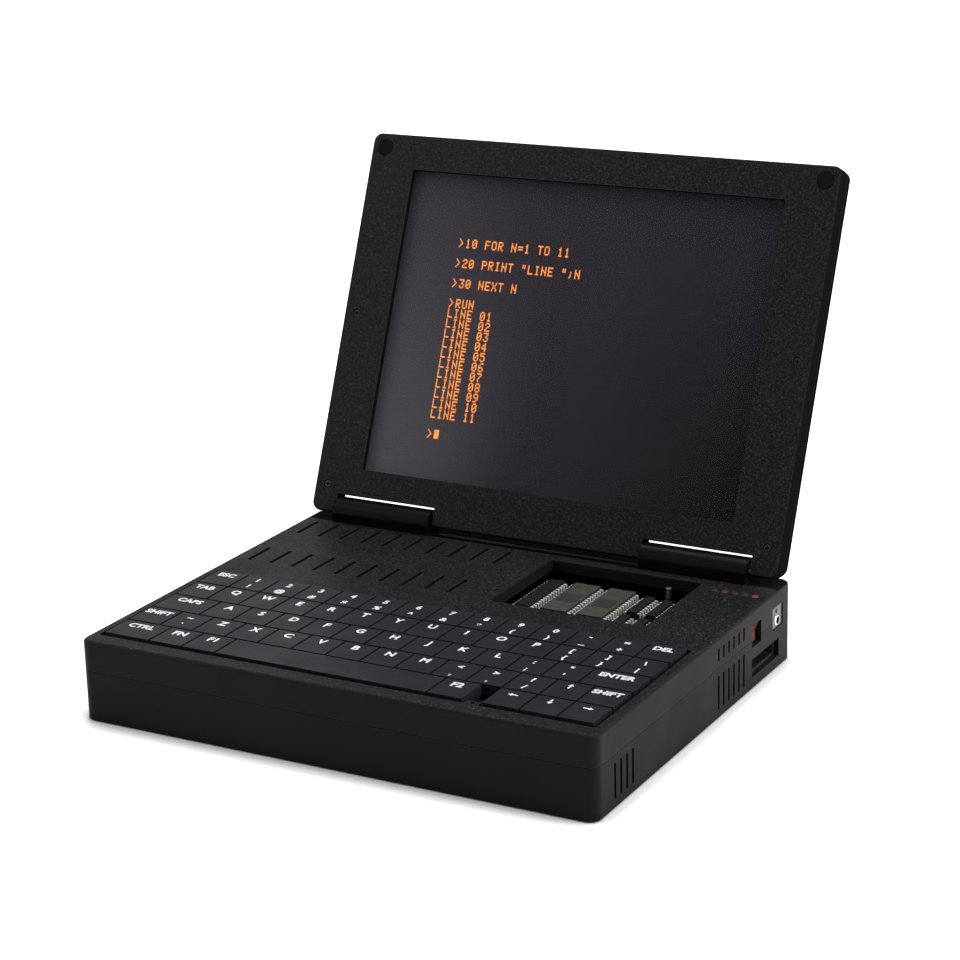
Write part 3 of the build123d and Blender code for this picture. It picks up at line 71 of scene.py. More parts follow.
def scaled(colour: Colour, share: float) -> Colour:
    """A colour made darker or lighter by a share."""
    return tuple(share * part for part in colour)


@dataclass
class NodeSheet:
    """Adds nodes to one tree and joins them up."""

    tree: bpy.types.NodeTree

    def add(self, kind: str, inputs: dict[str | int, Value] | None = None,
            **settings: object) -> bpy.types.Node:
        """Adds one node.

        Args:
            kind: Blender's name of the node type.
            inputs: values or sockets for its inputs, by name or by number.
            **settings: other properties of the node.

        Returns:
            The new node.
        """
        node = self.tree.nodes.new(kind)
        for name, value in settings.items():
            setattr(node, name, value)
        for key, value in (inputs or {}).items():
            self.feed(node.inputs[key], value)
        return node

    def feed(self, socket: Socket, value: Value) -> None:
        """Gives an input a constant, or joins it to another node's output.

        Args:
            socket: the input.
            value: a number, a colour or the output of a node.
        """
        if isinstance(value, Socket):
            self.tree.links.new(value, socket)
        elif socket.type == "RGBA":
            socket.default_value = (*value, 1.0)[:4]
        else:
            socket.default_value = value

    def math(self, operation: str, *values: Value, clamp: bool = False) -> Socket:
        """Result of one arithmetic step on one to three values."""
        node = self.add("ShaderNodeMath", dict(enumerate(values)), operation=operation, use_clamp=clamp)
        return node.outputs[0]

    def vector_math(self, operation: str, output: str, *values: Value) -> Socket:
        """Result of one arithmetic step on vectors."""
        node = self.add("ShaderNodeVectorMath", dict(enumerate(values)), operation=operation)
        return node.outputs[output]

    def mix(self, factor: Value, first: Value, second: Value) -> Socket:
        """Colour between two colours.

        Args:
            factor: share of the second colour.
            first: the first colour.
            second: the second colour.

        Returns:
            The mixed colour.
        """
        node = self.add("ShaderNodeMix", data_type="RGBA")
        self.feed(node.inputs[0], factor)
        self.feed(node.inputs[6], first)
        self.feed(node.inputs[7], second)
        return node.outputs[2]

    def remap(self, value: Value, low: float, high: float, to_low: float = 0.0,
              to_high: float = 1.0) -> Socket:
        """Value moved from one range to another with soft ends, and held inside it.

        Args:
            value: what is moved.
            low: start of its range.
            high: end of its range.
            to_low: what the start becomes.
            to_high: what the end becomes.

        Returns:
            The moved value.
        """
        names = {"Value": value, "From Min": low, "From Max": high, "To Min": to_low, "To Max": to_high}
        node = self.add("ShaderNodeMapRange", names, interpolation_type="SMOOTHSTEP")
        return node.outputs[0]

    def object_place(self) -> Socket:
        """Place on the object in metres."""
        return self.add("ShaderNodeTexCoord").outputs["Object"]

    def axes(self, vector: Socket) -> tuple[Socket, Socket, Socket]:
        """The three parts of a vector."""
        node = self.add("ShaderNodeSeparateXYZ", {0: vector})
        return node.outputs[0], node.outputs[1], node.outputs[2]

    def noise(self, scale: Value, detail: float = 2.0, vector: Socket | None = None) -> Socket:
        """Cloudy noise between 0 and 1.

        Args:
            scale: how many clouds there are to a metre.
            detail: how many finer layers it has.
            vector: where it is read, or None for the place on the object.

        Returns:
            The noise.
        """
        place = vector or self.object_place()
        names = {"Vector": place, "Scale": scale, "Detail": detail, "Roughness": 0.6}
        return self.add("ShaderNodeTexNoise", names).outputs[0]

    def off_middle(self, value: Socket, per_metre: float) -> Socket:
        """Distance from the middle of the nearest cell in a regular row of cells, counted in cells."""
        cell = self.math("FRACT", self.math("MULTIPLY", value, per_metre))
        return self.math("ABSOLUTE", self.math("SUBTRACT", cell, 0.5))

    def gap_to(self, value: Socket, middle: float) -> Socket:
        """Distance between a value and a fixed one."""
        return self.math("ABSOLUTE", self.math("SUBTRACT", value, middle))

    def relief(self, shader: bpy.types.Node, height: Socket, strength: Value, depth: float) -> None:
        """Gives a shader's surface a fine relief, with its depth in metres."""
        bump = self.add("ShaderNodeBump", {"Height": height, "Strength": strength, "Distance": depth})
        self.feed(shader.inputs["Normal"], bump.outputs[0])


class Effect(Enum):
    """Effects on a surface that several finishes share."""

    GRAIN = "moulded_grain_and_glints"
    SMUDGE = "handling_smudge"
    EDGE = "edge_polish_and_highlight"
    DUST = "settled_dust"
    FACING = "facing_mask"


@dataclass
class EffectShelf:
    """Builds each shared effect once and places it in materials."""

    groups: dict[Effect, bpy.types.NodeTree] = field(default_factory=dict)

    def build(self) -> None:
        """Builds every shared effect."""
        self.groups[Effect.GRAIN] = self.grain()
        self.groups[Effect.SMUDGE] = self.smudge()
        self.groups[Effect.EDGE] = self.edge()
        self.groups[Effect.DUST] = self.dust()
        self.groups[Effect.FACING] = self.facing()

    def start(self, effect: Effect, inputs: dict[str, float], outputs: tuple[str, ...]) -> tuple:
        """Opens a group with named inputs and outputs.

        Args:
            effect: the effect, whose value names the group.
            inputs: the inputs with their usual values.
            outputs: names of the outputs, all of them single values.

        Returns:
            The sheet, the group's input node and its output node.
        """
        tree = bpy.data.node_groups.new(effect.value, "ShaderNodeTree")
        for name, value in inputs.items():
            socket = tree.interface.new_socket(name=name, in_out="INPUT", socket_type="NodeSocketFloat")
            socket.default_value = value
        for name in outputs:
            tree.interface.new_socket(name=name, in_out="OUTPUT", socket_type="NodeSocketFloat")
        sheet = NodeSheet(tree)
        return sheet, sheet.add("NodeGroupInput"), sheet.add("NodeGroupOutput")

    def grain(self) -> bpy.types.NodeTree:
        """Pebbled mould texture: a height, and a mask of the small bright points of its tips, which are painted
        glints on the grain.

        Returns:
            The group's tree.
        """
        usual = {"Pebble": 1400.0, "Tips": 0.62, "Soft": 0.12}
        sheet, given, result = self.start(Effect.GRAIN, usual, ("Height", "Tips"))
        place = sheet.object_place()
        pebbles = sheet.add("ShaderNodeTexVoronoi", {"Vector": place, "Scale": given.outputs["Pebble"]},
                            feature="SMOOTH_F1")
        fine = sheet.math("MULTIPLY", given.outputs["Pebble"], 0.8)
        cloud = sheet.noise(fine, 3.0, place)
        height = sheet.math("SUBTRACT", cloud, sheet.math("MULTIPLY", pebbles.outputs["Distance"], 0.6))
        tips = sheet.add("ShaderNodeMapRange", {
            "Value": cloud,
            "From Min": given.outputs["Tips"],
            "From Max": sheet.math("ADD", given.outputs["Tips"], given.outputs["Soft"]),
        })
        sheet.feed(result.inputs["Height"], height)
        sheet.feed(result.inputs["Tips"], tips.outputs[0])
        return sheet.tree

    def smudge(self) -> bpy.types.NodeTree:
        """Broad uneven patches, as hands leave them.

        Returns:
            The group's tree.
        """
        sheet, given, result = self.start(Effect.SMUDGE, {"Patch": 22.0, "Contrast": 0.5}, ("Value",))
        broad = sheet.noise(given.outputs["Patch"], 3.0)
        middle = sheet.math("SUBTRACT", broad, 0.5)
        sheet.feed(result.inputs["Value"], sheet.math("MULTIPLY", middle, given.outputs["Contrast"]))
        return sheet.tree

    def edge(self) -> bpy.types.NodeTree:
        """Mask of the outer edges: where the rounded normal leaves the true one. Finishes smooth their edges
        with it, and lighten their colour there as a painted highlight.

        Returns:
            The group's tree.
        """
        sheet, given, result = self.start(Effect.EDGE, {"Radius": 0.6 * MM, "Gain": 2.5}, ("Mask",))
        rounded = sheet.add("ShaderNodeBevel", {"Radius": given.outputs["Radius"]}, samples=4)
        straight = sheet.add("ShaderNodeNewGeometry").outputs["Normal"]
        same = sheet.vector_math("DOT_PRODUCT", "Value", rounded.outputs[0], straight)
        turn = sheet.math("MULTIPLY", sheet.math("SUBTRACT", 1.0, same), given.outputs["Gain"], clamp=True)
        broken = sheet.remap(sheet.noise(160.0, 3.0), 0.25, 0.6, 0.45, 1.0)
        sheet.feed(result.inputs["Mask"], sheet.math("MULTIPLY", turn, broken))
        return sheet.tree

    def dust(self) -> bpy.types.NodeTree:
        """Mask of loose specks that lie on surfaces facing up.

        Returns:
            The group's tree.
        """
        sheet, given, result = self.start(Effect.DUST, {"Amount": 0.5}, ("Mask",))
        normal = sheet.add("ShaderNodeNewGeometry").outputs["Normal"]
        upward = sheet.remap(sheet.axes(normal)[2], 0.55, 0.95)
        cells = sheet.add("ShaderNodeTexVoronoi", {"Vector": sheet.object_place(), "Scale": 260.0})
        specks = sheet.remap(cells.outputs["Distance"], 0.16, 0.04)
        patches = sheet.remap(sheet.noise(30.0, 2.0), 0.42, 0.62)
        both = sheet.math("MULTIPLY", sheet.math("MULTIPLY", specks, patches), upward)
        sheet.feed(result.inputs["Mask"], sheet.math("MULTIPLY", both, given.outputs["Amount"]))
        return sheet.tree

    def facing(self) -> bpy.types.NodeTree:
        """Mask of the faces that look along a direction, 1 where they do.

        Returns:
            The group's tree.
        """
        usual = {"X": 0.0, "Y": 0.0, "Z": 1.0}
        sheet, given, result = self.start(Effect.FACING, usual, ("Mask",))
        way = sheet.add("ShaderNodeCombineXYZ", {name: given.outputs[name] for name in usual}).outputs[0]
        normal = sheet.add("ShaderNodeTexCoord").outputs["Normal"]
        same = sheet.vector_math("DOT_PRODUCT", "Value", normal, way)
        sheet.feed(result.inputs["Mask"], sheet.remap(same, 0.7, 0.95))
        return sheet.tree

    def place(self, sheet: NodeSheet, effect: Effect, **values: Value) -> bpy.types.Node:
        """Places a shared effect in a material with its own values.

        Args:
            sheet: the material's sheet.
            effect: the effect.
            **values: values of its inputs by name.

        Returns:
            The group's node.
        """
        node = sheet.add("ShaderNodeGroup", node_tree=self.groups[effect])
        for name, value in values.items():
            sheet.feed(node.inputs[name], value)
        return node

    def smudged(self, sheet: NodeSheet, roughness: Value, patch: float, contrast: float) -> Socket:
        """A roughness with the uneven patches of handling on it."""
        smudge = self.place(sheet, Effect.SMUDGE, Patch=patch, Contrast=contrast)
        return sheet.math("ADD", roughness, smudge.outputs["Value"])

    def edge_mask(self, sheet: NodeSheet, radius: float, gain: float) -> Socket:
        """Mask of the outer edges, as wide as a radius in metres."""
        return self.place(sheet, Effect.EDGE, Radius=radius, Gain=gain).outputs["Mask"]

    def dust_mask(self, sheet: NodeSheet, amount: float) -> Socket:
        """Mask of loose specks."""
        return self.place(sheet, Effect.DUST, Amount=amount).outputs["Mask"]

    def facing_mask(self, sheet: NodeSheet, way: Direction) -> Socket:
        """Mask of the faces that look along a direction."""
        return self.place(sheet, Effect.FACING, X=way[0], Y=way[1], Z=way[2]).outputs["Mask"]


def start_material(name: str, colour: Colour) -> tuple[bpy.types.Material, NodeSheet, bpy.types.Node]:
    """Opens a material.

    Args:
        name: name of the material.
        colour: plain colour that stands for it in the viewport.

    Returns:
        The material, its node sheet and its Principled BSDF.
    """
    material = bpy.data.materials.new(name)
    material.use_nodes = True
    material.diffuse_color = (*colour, 1.0)
    return material, NodeSheet(material.node_tree), material.node_tree.nodes["Principled BSDF"]


@dataclass(frozen=True)
class GrainedPlastic:
    """Moulded plastic: pebbled with light tips on the faces that look one way, plain on the rest.

    What stands above the height `top` is smooth. So is the strip at that height beyond the depth `rear`, whose
    flat part is dull. Both take a darker colour, which is painted shade under the lid.
    A share of the tip colour, `fade`, is added at the left and runs out to the right, as a painted sheen.
    """

    name: str
    colour: Colour
    tip_colour: Colour
    edge_colour: Colour
    side_colour: Colour
    roughness: float
    specular: float
    pebble: float
    tips: float
    depth: float
    soft: float = 0.12
    dust: float = 0.3
    edge_radius: float = 0.7 * MM
    relief: float = 0.15 * MM
    mean_height: float = 0.3
    plain_share: float = 0.15
    way: Direction = (0.0, 0.0, 1.0)
    top: float = 1.0
    rear: float = 1.0
    strip_drop: float = 1.0 * MM
    strip_rise: float = 0.6 * MM
    smooth_colour: Colour = (0.003, 0.003, 0.0031)
    smooth_roughness: float = 0.26
    fade: float = 0.0
    fade_half: float = 120.0 * MM

    def smooth_masks(self, sheet: NodeSheet, y: Socket, z: Socket) -> tuple[Socket, Socket]:
        """Masks of all that is smooth, and of the dull strip in it.

        Args:
            sheet: the material's sheet.
            y: place in Y.
            z: place in Z.

        Returns:
            The two masks.
        """
        beyond = sheet.math("GREATER_THAN", y, self.rear)
        strip = sheet.math("MULTIPLY", beyond, sheet.math("GREATER_THAN", z, self.top - self.strip_drop))
        flat = sheet.math("MULTIPLY", strip, sheet.math("LESS_THAN", z, self.top + self.strip_rise))
        return sheet.math("MAXIMUM", strip, sheet.math("GREATER_THAN", z, self.top)), flat

    def build(self, shelf: EffectShelf) -> bpy.types.Material:
        """Builds the material.

        Args:
            shelf: the shared effects.

        Returns:
            The material.
        """
        material, sheet, shader = start_material(self.name, self.colour)
        grain = shelf.place(sheet, Effect.GRAIN, Pebble=self.pebble, Tips=self.tips, Soft=self.soft)
        edge = shelf.edge_mask(sheet, self.edge_radius, 2.0)
        facing = shelf.facing_mask(sheet, self.way)
        x, y, z = sheet.axes(sheet.object_place())
        smooth, strip = self.smooth_masks(sheet, y, z)
        # Lighter tips: the grain, with painted glints on it.
        tone = sheet.mix(sheet.math("MULTIPLY", grain.outputs["Tips"], 0.7), self.colour, self.tip_colour)
        # Painted sheen: a share of the tip colour at the left, running out to the right.
        worn = sheet.remap(x, -self.fade_half, self.fade_half, self.fade, 0.0)
        tone = sheet.mix(worn, tone, self.tip_colour)
        # Faces that look away from the given direction take the plain side colour; on the bezel its darkness is
        # painted shade.
        tone = sheet.mix(facing, self.side_colour, tone)
        # Lighter edge colour: a painted highlight along the rounded edges.
        tone = sheet.mix(edge, tone, self.edge_colour)
        # Smooth parts take the darker smooth colour: smooth moulding, and painted shade under the lid.
        tone = sheet.mix(smooth, tone, self.smooth_colour)
        tone = sheet.mix(shelf.dust_mask(sheet, self.dust), tone, DUST_COLOUR)
        sheet.feed(shader.inputs["Base Color"], tone)
        plain = sheet.remap(smooth, 0.0, 1.0, self.roughness, self.smooth_roughness)
        rough = shelf.smudged(sheet, sheet.math("MAXIMUM", plain, strip), 24.0, 0.35)
        polish = sheet.math("MULTIPLY", edge, 0.12)
        sheet.feed(shader.inputs["Roughness"], sheet.math("SUBTRACT", rough, polish))
        shader.inputs["Specular IOR Level"].default_value = self.specular
        skin = sheet.math("MULTIPLY", facing, sheet.math("SUBTRACT", 1.0, smooth))
        level = sheet.math("SUBTRACT", grain.outputs["Height"], self.mean_height)
        height = sheet.math("MULTIPLY", level, sheet.remap(skin, 0.0, 1.0, self.plain_share, 1.0))
        sheet.relief(shader, height, self.depth, self.relief)
        return material


@dataclass(frozen=True)
class SatinPlastic:
    """Smooth moulded plastic, with a faint fine grain, hand smudges and a painted highlight along its edges."""

    name: str
    colour: Colour
    roughness: float
    specular: float = 0.35
    grain: float = 3200.0
    depth: float = 0.08
    coat: float = 0.0
    dust: float = 0.15

    def build(self, shelf: EffectShelf) -> bpy.types.Material:
        """Builds the material.

        Args:
            shelf: the shared effects.

        Returns:
            The material.
        """
        material, sheet, shader = start_material(self.name, self.colour)
        grain = shelf.place(sheet, Effect.GRAIN, Pebble=self.grain, Tips=0.7)
        # Paler colour along the edges: a painted highlight.
        pale = tuple(min(1.0, part * 1.7 + 0.01) for part in self.colour)
        cloud = sheet.remap(sheet.noise(70.0, 3.0), 0.3, 0.7)
        tone = sheet.mix(cloud, scaled(self.colour, 0.82), self.colour)
        tone = sheet.mix(shelf.edge_mask(sheet, 0.5 * MM, 1.5), tone, pale)
        tone = sheet.mix(shelf.dust_mask(sheet, self.dust), tone, KEY_DUST_COLOUR)
        sheet.feed(shader.inputs["Base Color"], tone)
        sheet.feed(shader.inputs["Roughness"], shelf.smudged(sheet, self.roughness, 45.0, 0.4))
        shader.inputs["Specular IOR Level"].default_value = self.specular
        shader.inputs["Coat Weight"].default_value = self.coat
        sheet.relief(shader, grain.outputs["Height"], self.depth, 0.05 * MM)
        return material


@dataclass(frozen=True)
class BareMetal:
    """Metal with fine brushing and uneven tarnish."""

    name: str
    colour: Colour
    roughness: float
    stretch: tuple[float, float, float] = (60.0, 900.0, 900.0)
    tarnish: float = 0.3
    metallic: float = 1.0

    def build(self, shelf: EffectShelf) -> bpy.types.Material:
        """Builds the material.

        Args:
            shelf: the shared effects.

        Returns:
            The material.
        """
        material, sheet, shader = start_material(self.name, self.colour)
        turned = sheet.add("ShaderNodeMapping", {"Vector": sheet.object_place(), "Scale": self.stretch})
        brushed = sheet.noise(1.0, 4.0, turned.outputs[0])
        dull = scaled(self.colour, 1.0 - self.tarnish)
        tone = sheet.mix(sheet.remap(sheet.noise(240.0, 3.0), 0.35, 0.7), self.colour, dull)
        sheet.feed(shader.inputs["Base Color"], tone)
        shader.inputs["Metallic"].default_value = self.metallic
        rough = shelf.smudged(sheet, sheet.remap(brushed, 0.2, 0.8, -0.08, 0.08), 120.0, 0.5)
        sheet.feed(shader.inputs["Roughness"], sheet.math("ADD", rough, self.roughness, clamp=True))
        sheet.relief(shader, brushed, 0.12, 0.03 * MM)
        return material


@dataclass(frozen=True)
class ChipResin:
    """Dull moulding resin of a chip, with a darker printed field across its middle, painted shade on its sides
    and a painted highlight along its edges.
    """

    name: str
    colour: Colour
    band_colour: Colour
    middle: tuple[float, float] = (0.0, 0.0)
    half_width: float = 0.0
    half_length: float = 0.0
    fringe: float = 0.3 * MM

    def build(self, shelf: EffectShelf) -> bpy.types.Material:
        """Builds the material. The field is where both distances from the middle stay under its half sizes.

        Args:
            shelf: the shared effects.

        Returns:
            The material.
        """
        material, sheet, shader = start_material(self.name, self.colour)
        place = sheet.object_place()
        x, y, _ = sheet.axes(place)
        mottled = sheet.remap(sheet.noise(420.0, 4.0, place), 0.3, 0.7)
        tone = sheet.mix(mottled, self.colour, scaled(self.colour, 1.35))
        if self.half_width:
            beside, along = sheet.gap_to(x, self.middle[0]), sheet.gap_to(y, self.middle[1])
            in_x = sheet.remap(beside, self.half_width, self.half_width - self.fringe)
            in_y = sheet.remap(along, self.half_length, self.half_length - self.fringe)
            tone = sheet.mix(sheet.math("MULTIPLY", in_x, in_y), tone, self.band_colour)
        # Sides at half the colour are painted shade; edges at twice the colour are a painted highlight.
        tone = sheet.mix(shelf.facing_mask(sheet, (0.0, 0.0, 1.0)), scaled(self.colour, 0.5), tone)
        tone = sheet.mix(shelf.edge_mask(sheet, 0.4 * MM, 1.5), tone, scaled(self.colour, 2.0))
        sheet.feed(shader.inputs["Base Color"], tone)
        sheet.feed(shader.inputs["Roughness"], sheet.remap(mottled, 0.0, 1.0, 0.42, 0.58))
        shader.inputs["Specular IOR Level"].default_value = 0.15
        sheet.relief(shader, mottled, 0.15, 0.05 * MM)
        return material


@dataclass(frozen=True)
class BoardLaminate:
    """Circuit board with green mask over fine runs of copper and tinned pads."""

    name: str = "board_laminate"
    colour: Colour = (0.012, 0.035, 0.02)
    run_colour: Colour = (0.03, 0.08, 0.04)
    pad_colour: Colour = (0.4, 0.38, 0.33)
    lanes: float = 520.0
    net: float = 197.0

    def build(self, shelf: EffectShelf) -> bpy.types.Material:
        """Builds the material: runs are bands of stretched cells, pads are the middles of a fine square net.

        Args:
            shelf: the shared effects.

        Returns:
            The material.
        """
        material, sheet, shader = start_material(self.name, self.colour)
        place = sheet.object_place()
        x, y, _ = sheet.axes(place)
        wavy = sheet.math("MULTIPLY", sheet.noise(55.0, 1.0, place), 0.02)
        runs = sheet.remap(sheet.off_middle(sheet.math("ADD", x, wavy), self.lanes), 0.22, 0.16)
        squares = [sheet.math("POWER", sheet.off_middle(axis, self.net), 2.0) for axis in (x, y)]
        far = sheet.math("SQRT", sheet.math("ADD", *squares))
        some = sheet.remap(sheet.noise(90.0, 1.0, place), 0.55, 0.58)
        pads = sheet.math("MULTIPLY", sheet.remap(far, 0.2, 0.15), some)
        tone = sheet.mix(runs, self.colour, self.run_colour)
        tone = sheet.mix(pads, tone, self.pad_colour)
        sheet.feed(shader.inputs["Base Color"], tone)
        sheet.feed(shader.inputs["Roughness"], shelf.smudged(sheet, 0.4, 60.0, 0.3))
        sheet.feed(shader.inputs["Metallic"], pads)
        sheet.relief(shader, runs, 0.2, 0.04 * MM)
        return material


@dataclass(frozen=True)
class DisplayFilm:
    """Face of the flat display: grey violet, a little uneven, with a painted reflection that is lightest at the
    left, and a faint dot pitch.
    """

    name: str = "display_film"
    left: Colour = (0.107, 0.103, 0.118)
    middle: Colour = (0.03, 0.0265, 0.0335)
    right: Colour = (0.0105, 0.009, 0.0108)
    high: Colour = (0.034, 0.0285, 0.0385)
    half_width: float = 98.0 * MM
    foot: float = 55.0 * MM
    top: float = 195.0 * MM
    dot_pitch: float = 0.3 * MM

    def build(self, shelf: EffectShelf) -> bpy.types.Material:
        """Builds the material. The tone falls off from the left to the right, and less so toward the top: a
        painted reflection.

        Args:
            shelf: the shared effects, not used here.

        Returns:
            The material.
        """
        material, sheet, shader = start_material(self.name, self.middle)
        place = sheet.object_place()
        x, _, z = sheet.axes(place)
        across = sheet.math("DIVIDE", sheet.math("ADD", x, self.half_width), 2.0 * self.half_width)
        up = sheet.math("DIVIDE", sheet.math("SUBTRACT", z, self.foot), self.top - self.foot)
        cloud = sheet.math("MULTIPLY", sheet.math("SUBTRACT", sheet.noise(9.0, 1.0, place), 0.5), 0.2)
        across = sheet.math("ADD", across, cloud)
        # Painted reflection: lighter at the left, darker to the right.
        tone = sheet.mix(sheet.remap(across, 0.0, 0.5), self.left, self.middle)
        tone = sheet.mix(sheet.remap(across, 0.45, 1.0), tone, self.right)
        tone = sheet.mix(sheet.remap(up, 0.0, 1.0, 0.0, 0.7), tone, self.high)
        sheet.feed(shader.inputs["Base Color"], tone)
        dots = sheet.math("SINE", sheet.math("MULTIPLY", x, 2.0 * math.pi / self.dot_pitch))
        sheet.feed(shader.inputs["Roughness"], sheet.remap(dots, -1.0, 1.0, 0.42, 0.5))
        shader.inputs["Specular IOR Level"].default_value = 0.02
        return material


@dataclass(frozen=True)
class SmokedPane:
    """Thin matt pane in front of the display. It lets most light through as it is."""

    name: str = "smoked_pane"
    colour: Colour = (0.01, 0.009, 0.012)
    pale: Colour = (0.02, 0.018, 0.022)
    body: float = 0.12

    def build(self, shelf: EffectShelf) -> bpy.types.Material:
        """Builds the material, a weak dark film with a soft gloss and wiped streaks.

        Args:
            shelf: the shared effects.

        Returns:
            The material.
        """
        material, sheet, shader = start_material(self.name, self.colour)
        sheet.feed(shader.inputs["Roughness"], shelf.smudged(sheet, 0.55, 14.0, 0.2))
        sheet.feed(shader.inputs["Base Color"], sheet.mix(sheet.noise(30.0), self.colour, self.pale))
        shader.inputs["Alpha"].default_value = self.body
        shader.inputs["Specular IOR Level"].default_value = 0.3
        return material


@dataclass(frozen=True)
class GlowInk:
    """Lit dots of the display: amber, a little uneven."""

    name: str
    colour: Colour
    strength: float

    def build(self, shelf: EffectShelf) -> bpy.types.Material:
        """Builds the material.

        Args:
            shelf: the shared effects, not used here.

        Returns:
            The material.
        """
        material, sheet, shader = start_material(self.name, self.colour)
        uneven = sheet.remap(sheet.noise(500.0, 2.0), 0.3, 0.7)
        shader.inputs["Base Color"].default_value = (0.02, 0.01, 0.005, 1.0)
        shader.inputs["Specular IOR Level"].default_value = 0.0
        sheet.feed(shader.inputs["Emission Color"], sheet.mix(uneven, scaled(self.colour, 0.8), self.colour))
        shader.inputs["Emission Strength"].default_value = self.strength
        return material


@dataclass(frozen=True)
class PrintedInk:
    """Pale printed lettering, with slight wear."""

    name: str = "legend_ink"
    colour: Colour = (0.78, 0.78, 0.8)
    worn: Colour = (0.5, 0.5, 0.53)

    def build(self, shelf: EffectShelf) -> bpy.types.Material:
        """Builds the material.

        Args:
            shelf: the shared effects, not used here.

        Returns:
            The material.
        """
        material, sheet, shader = start_material(self.name, self.colour)
        wear = sheet.remap(sheet.noise(900.0, 3.0), 0.5, 0.72)
        sheet.feed(shader.inputs["Base Color"], sheet.mix(wear, self.colour, self.worn))
        sheet.feed(shader.inputs["Roughness"], sheet.remap(wear, 0.0, 1.0, 0.45, 0.6))
        return material


@dataclass(frozen=True)
class LampLens:
    """Diffusing lens of the indicator lamps, with the lit ones glowing from inside."""

    name: str
    lit: tuple[tuple[float, Colour], ...]
    reach: float = 2.4 * MM
    dark: Colour = (0.019, 0.018, 0.021)

    def build(self, shelf: EffectShelf) -> bpy.types.Material:
        """Builds the material. A lit lamp is picked out by its distance in X.

        Args:
            shelf: the shared effects, not used here.

        Returns:
            The material.
        """
        material, sheet, shader = start_material(self.name, self.dark)
        x, _, _ = sheet.axes(sheet.object_place())
        glow: Value = BLACK
        tone: Value = self.dark
        for middle, colour in self.lit:
            near = sheet.math("LESS_THAN", sheet.gap_to(x, middle), self.reach)
            glow = sheet.mix(near, glow, colour)
            tone = sheet.mix(near, tone, scaled(colour, 0.5))
        cloud = sheet.remap(sheet.noise(700.0, 2.0), 0.3, 0.7, 0.4, 0.5)
        shader.inputs["Specular IOR Level"].default_value = 0.15
        sheet.feed(shader.inputs["Base Color"], tone)
        sheet.feed(shader.inputs["Emission Color"], glow)
        sheet.feed(shader.inputs["Roughness"], cloud)
        shader.inputs["Emission Strength"].default_value = 1.0
        return material


@dataclass(frozen=True)
class PlatedSocket:
    """Audio socket: a plated collar outside the wall, black plastic behind it."""

    name: str
    wall: float
    plate: Colour = (0.82, 0.81, 0.78)
    body: Colour = (0.015, 0.015, 0.016)

    def build(self, shelf: EffectShelf) -> bpy.types.Material:
        """Builds the material. What lies beyond the wall in X is plated.

        Args:
            shelf: the shared effects, not used here.

        Returns:
            The material.
        """
        material, sheet, shader = start_material(self.name, self.plate)
        x, _, _ = sheet.axes(sheet.object_place())
        plated = sheet.math("GREATER_THAN", x, self.wall)
        cloud = sheet.remap(sheet.noise(500.0, 3.0), 0.3, 0.7)
        plate = sheet.mix(cloud, self.plate, scaled(self.plate, 0.75))
        sheet.feed(shader.inputs["Base Color"], sheet.mix(plated, self.body, plate))
        sheet.feed(shader.inputs["Metallic"], plated)
        sheet.feed(shader.inputs["Roughness"], sheet.remap(cloud, 0.0, 1.0, 0.16, 0.28))
        return material


LID_FRONT: Direction = (0.0, -0.921, 0.39)


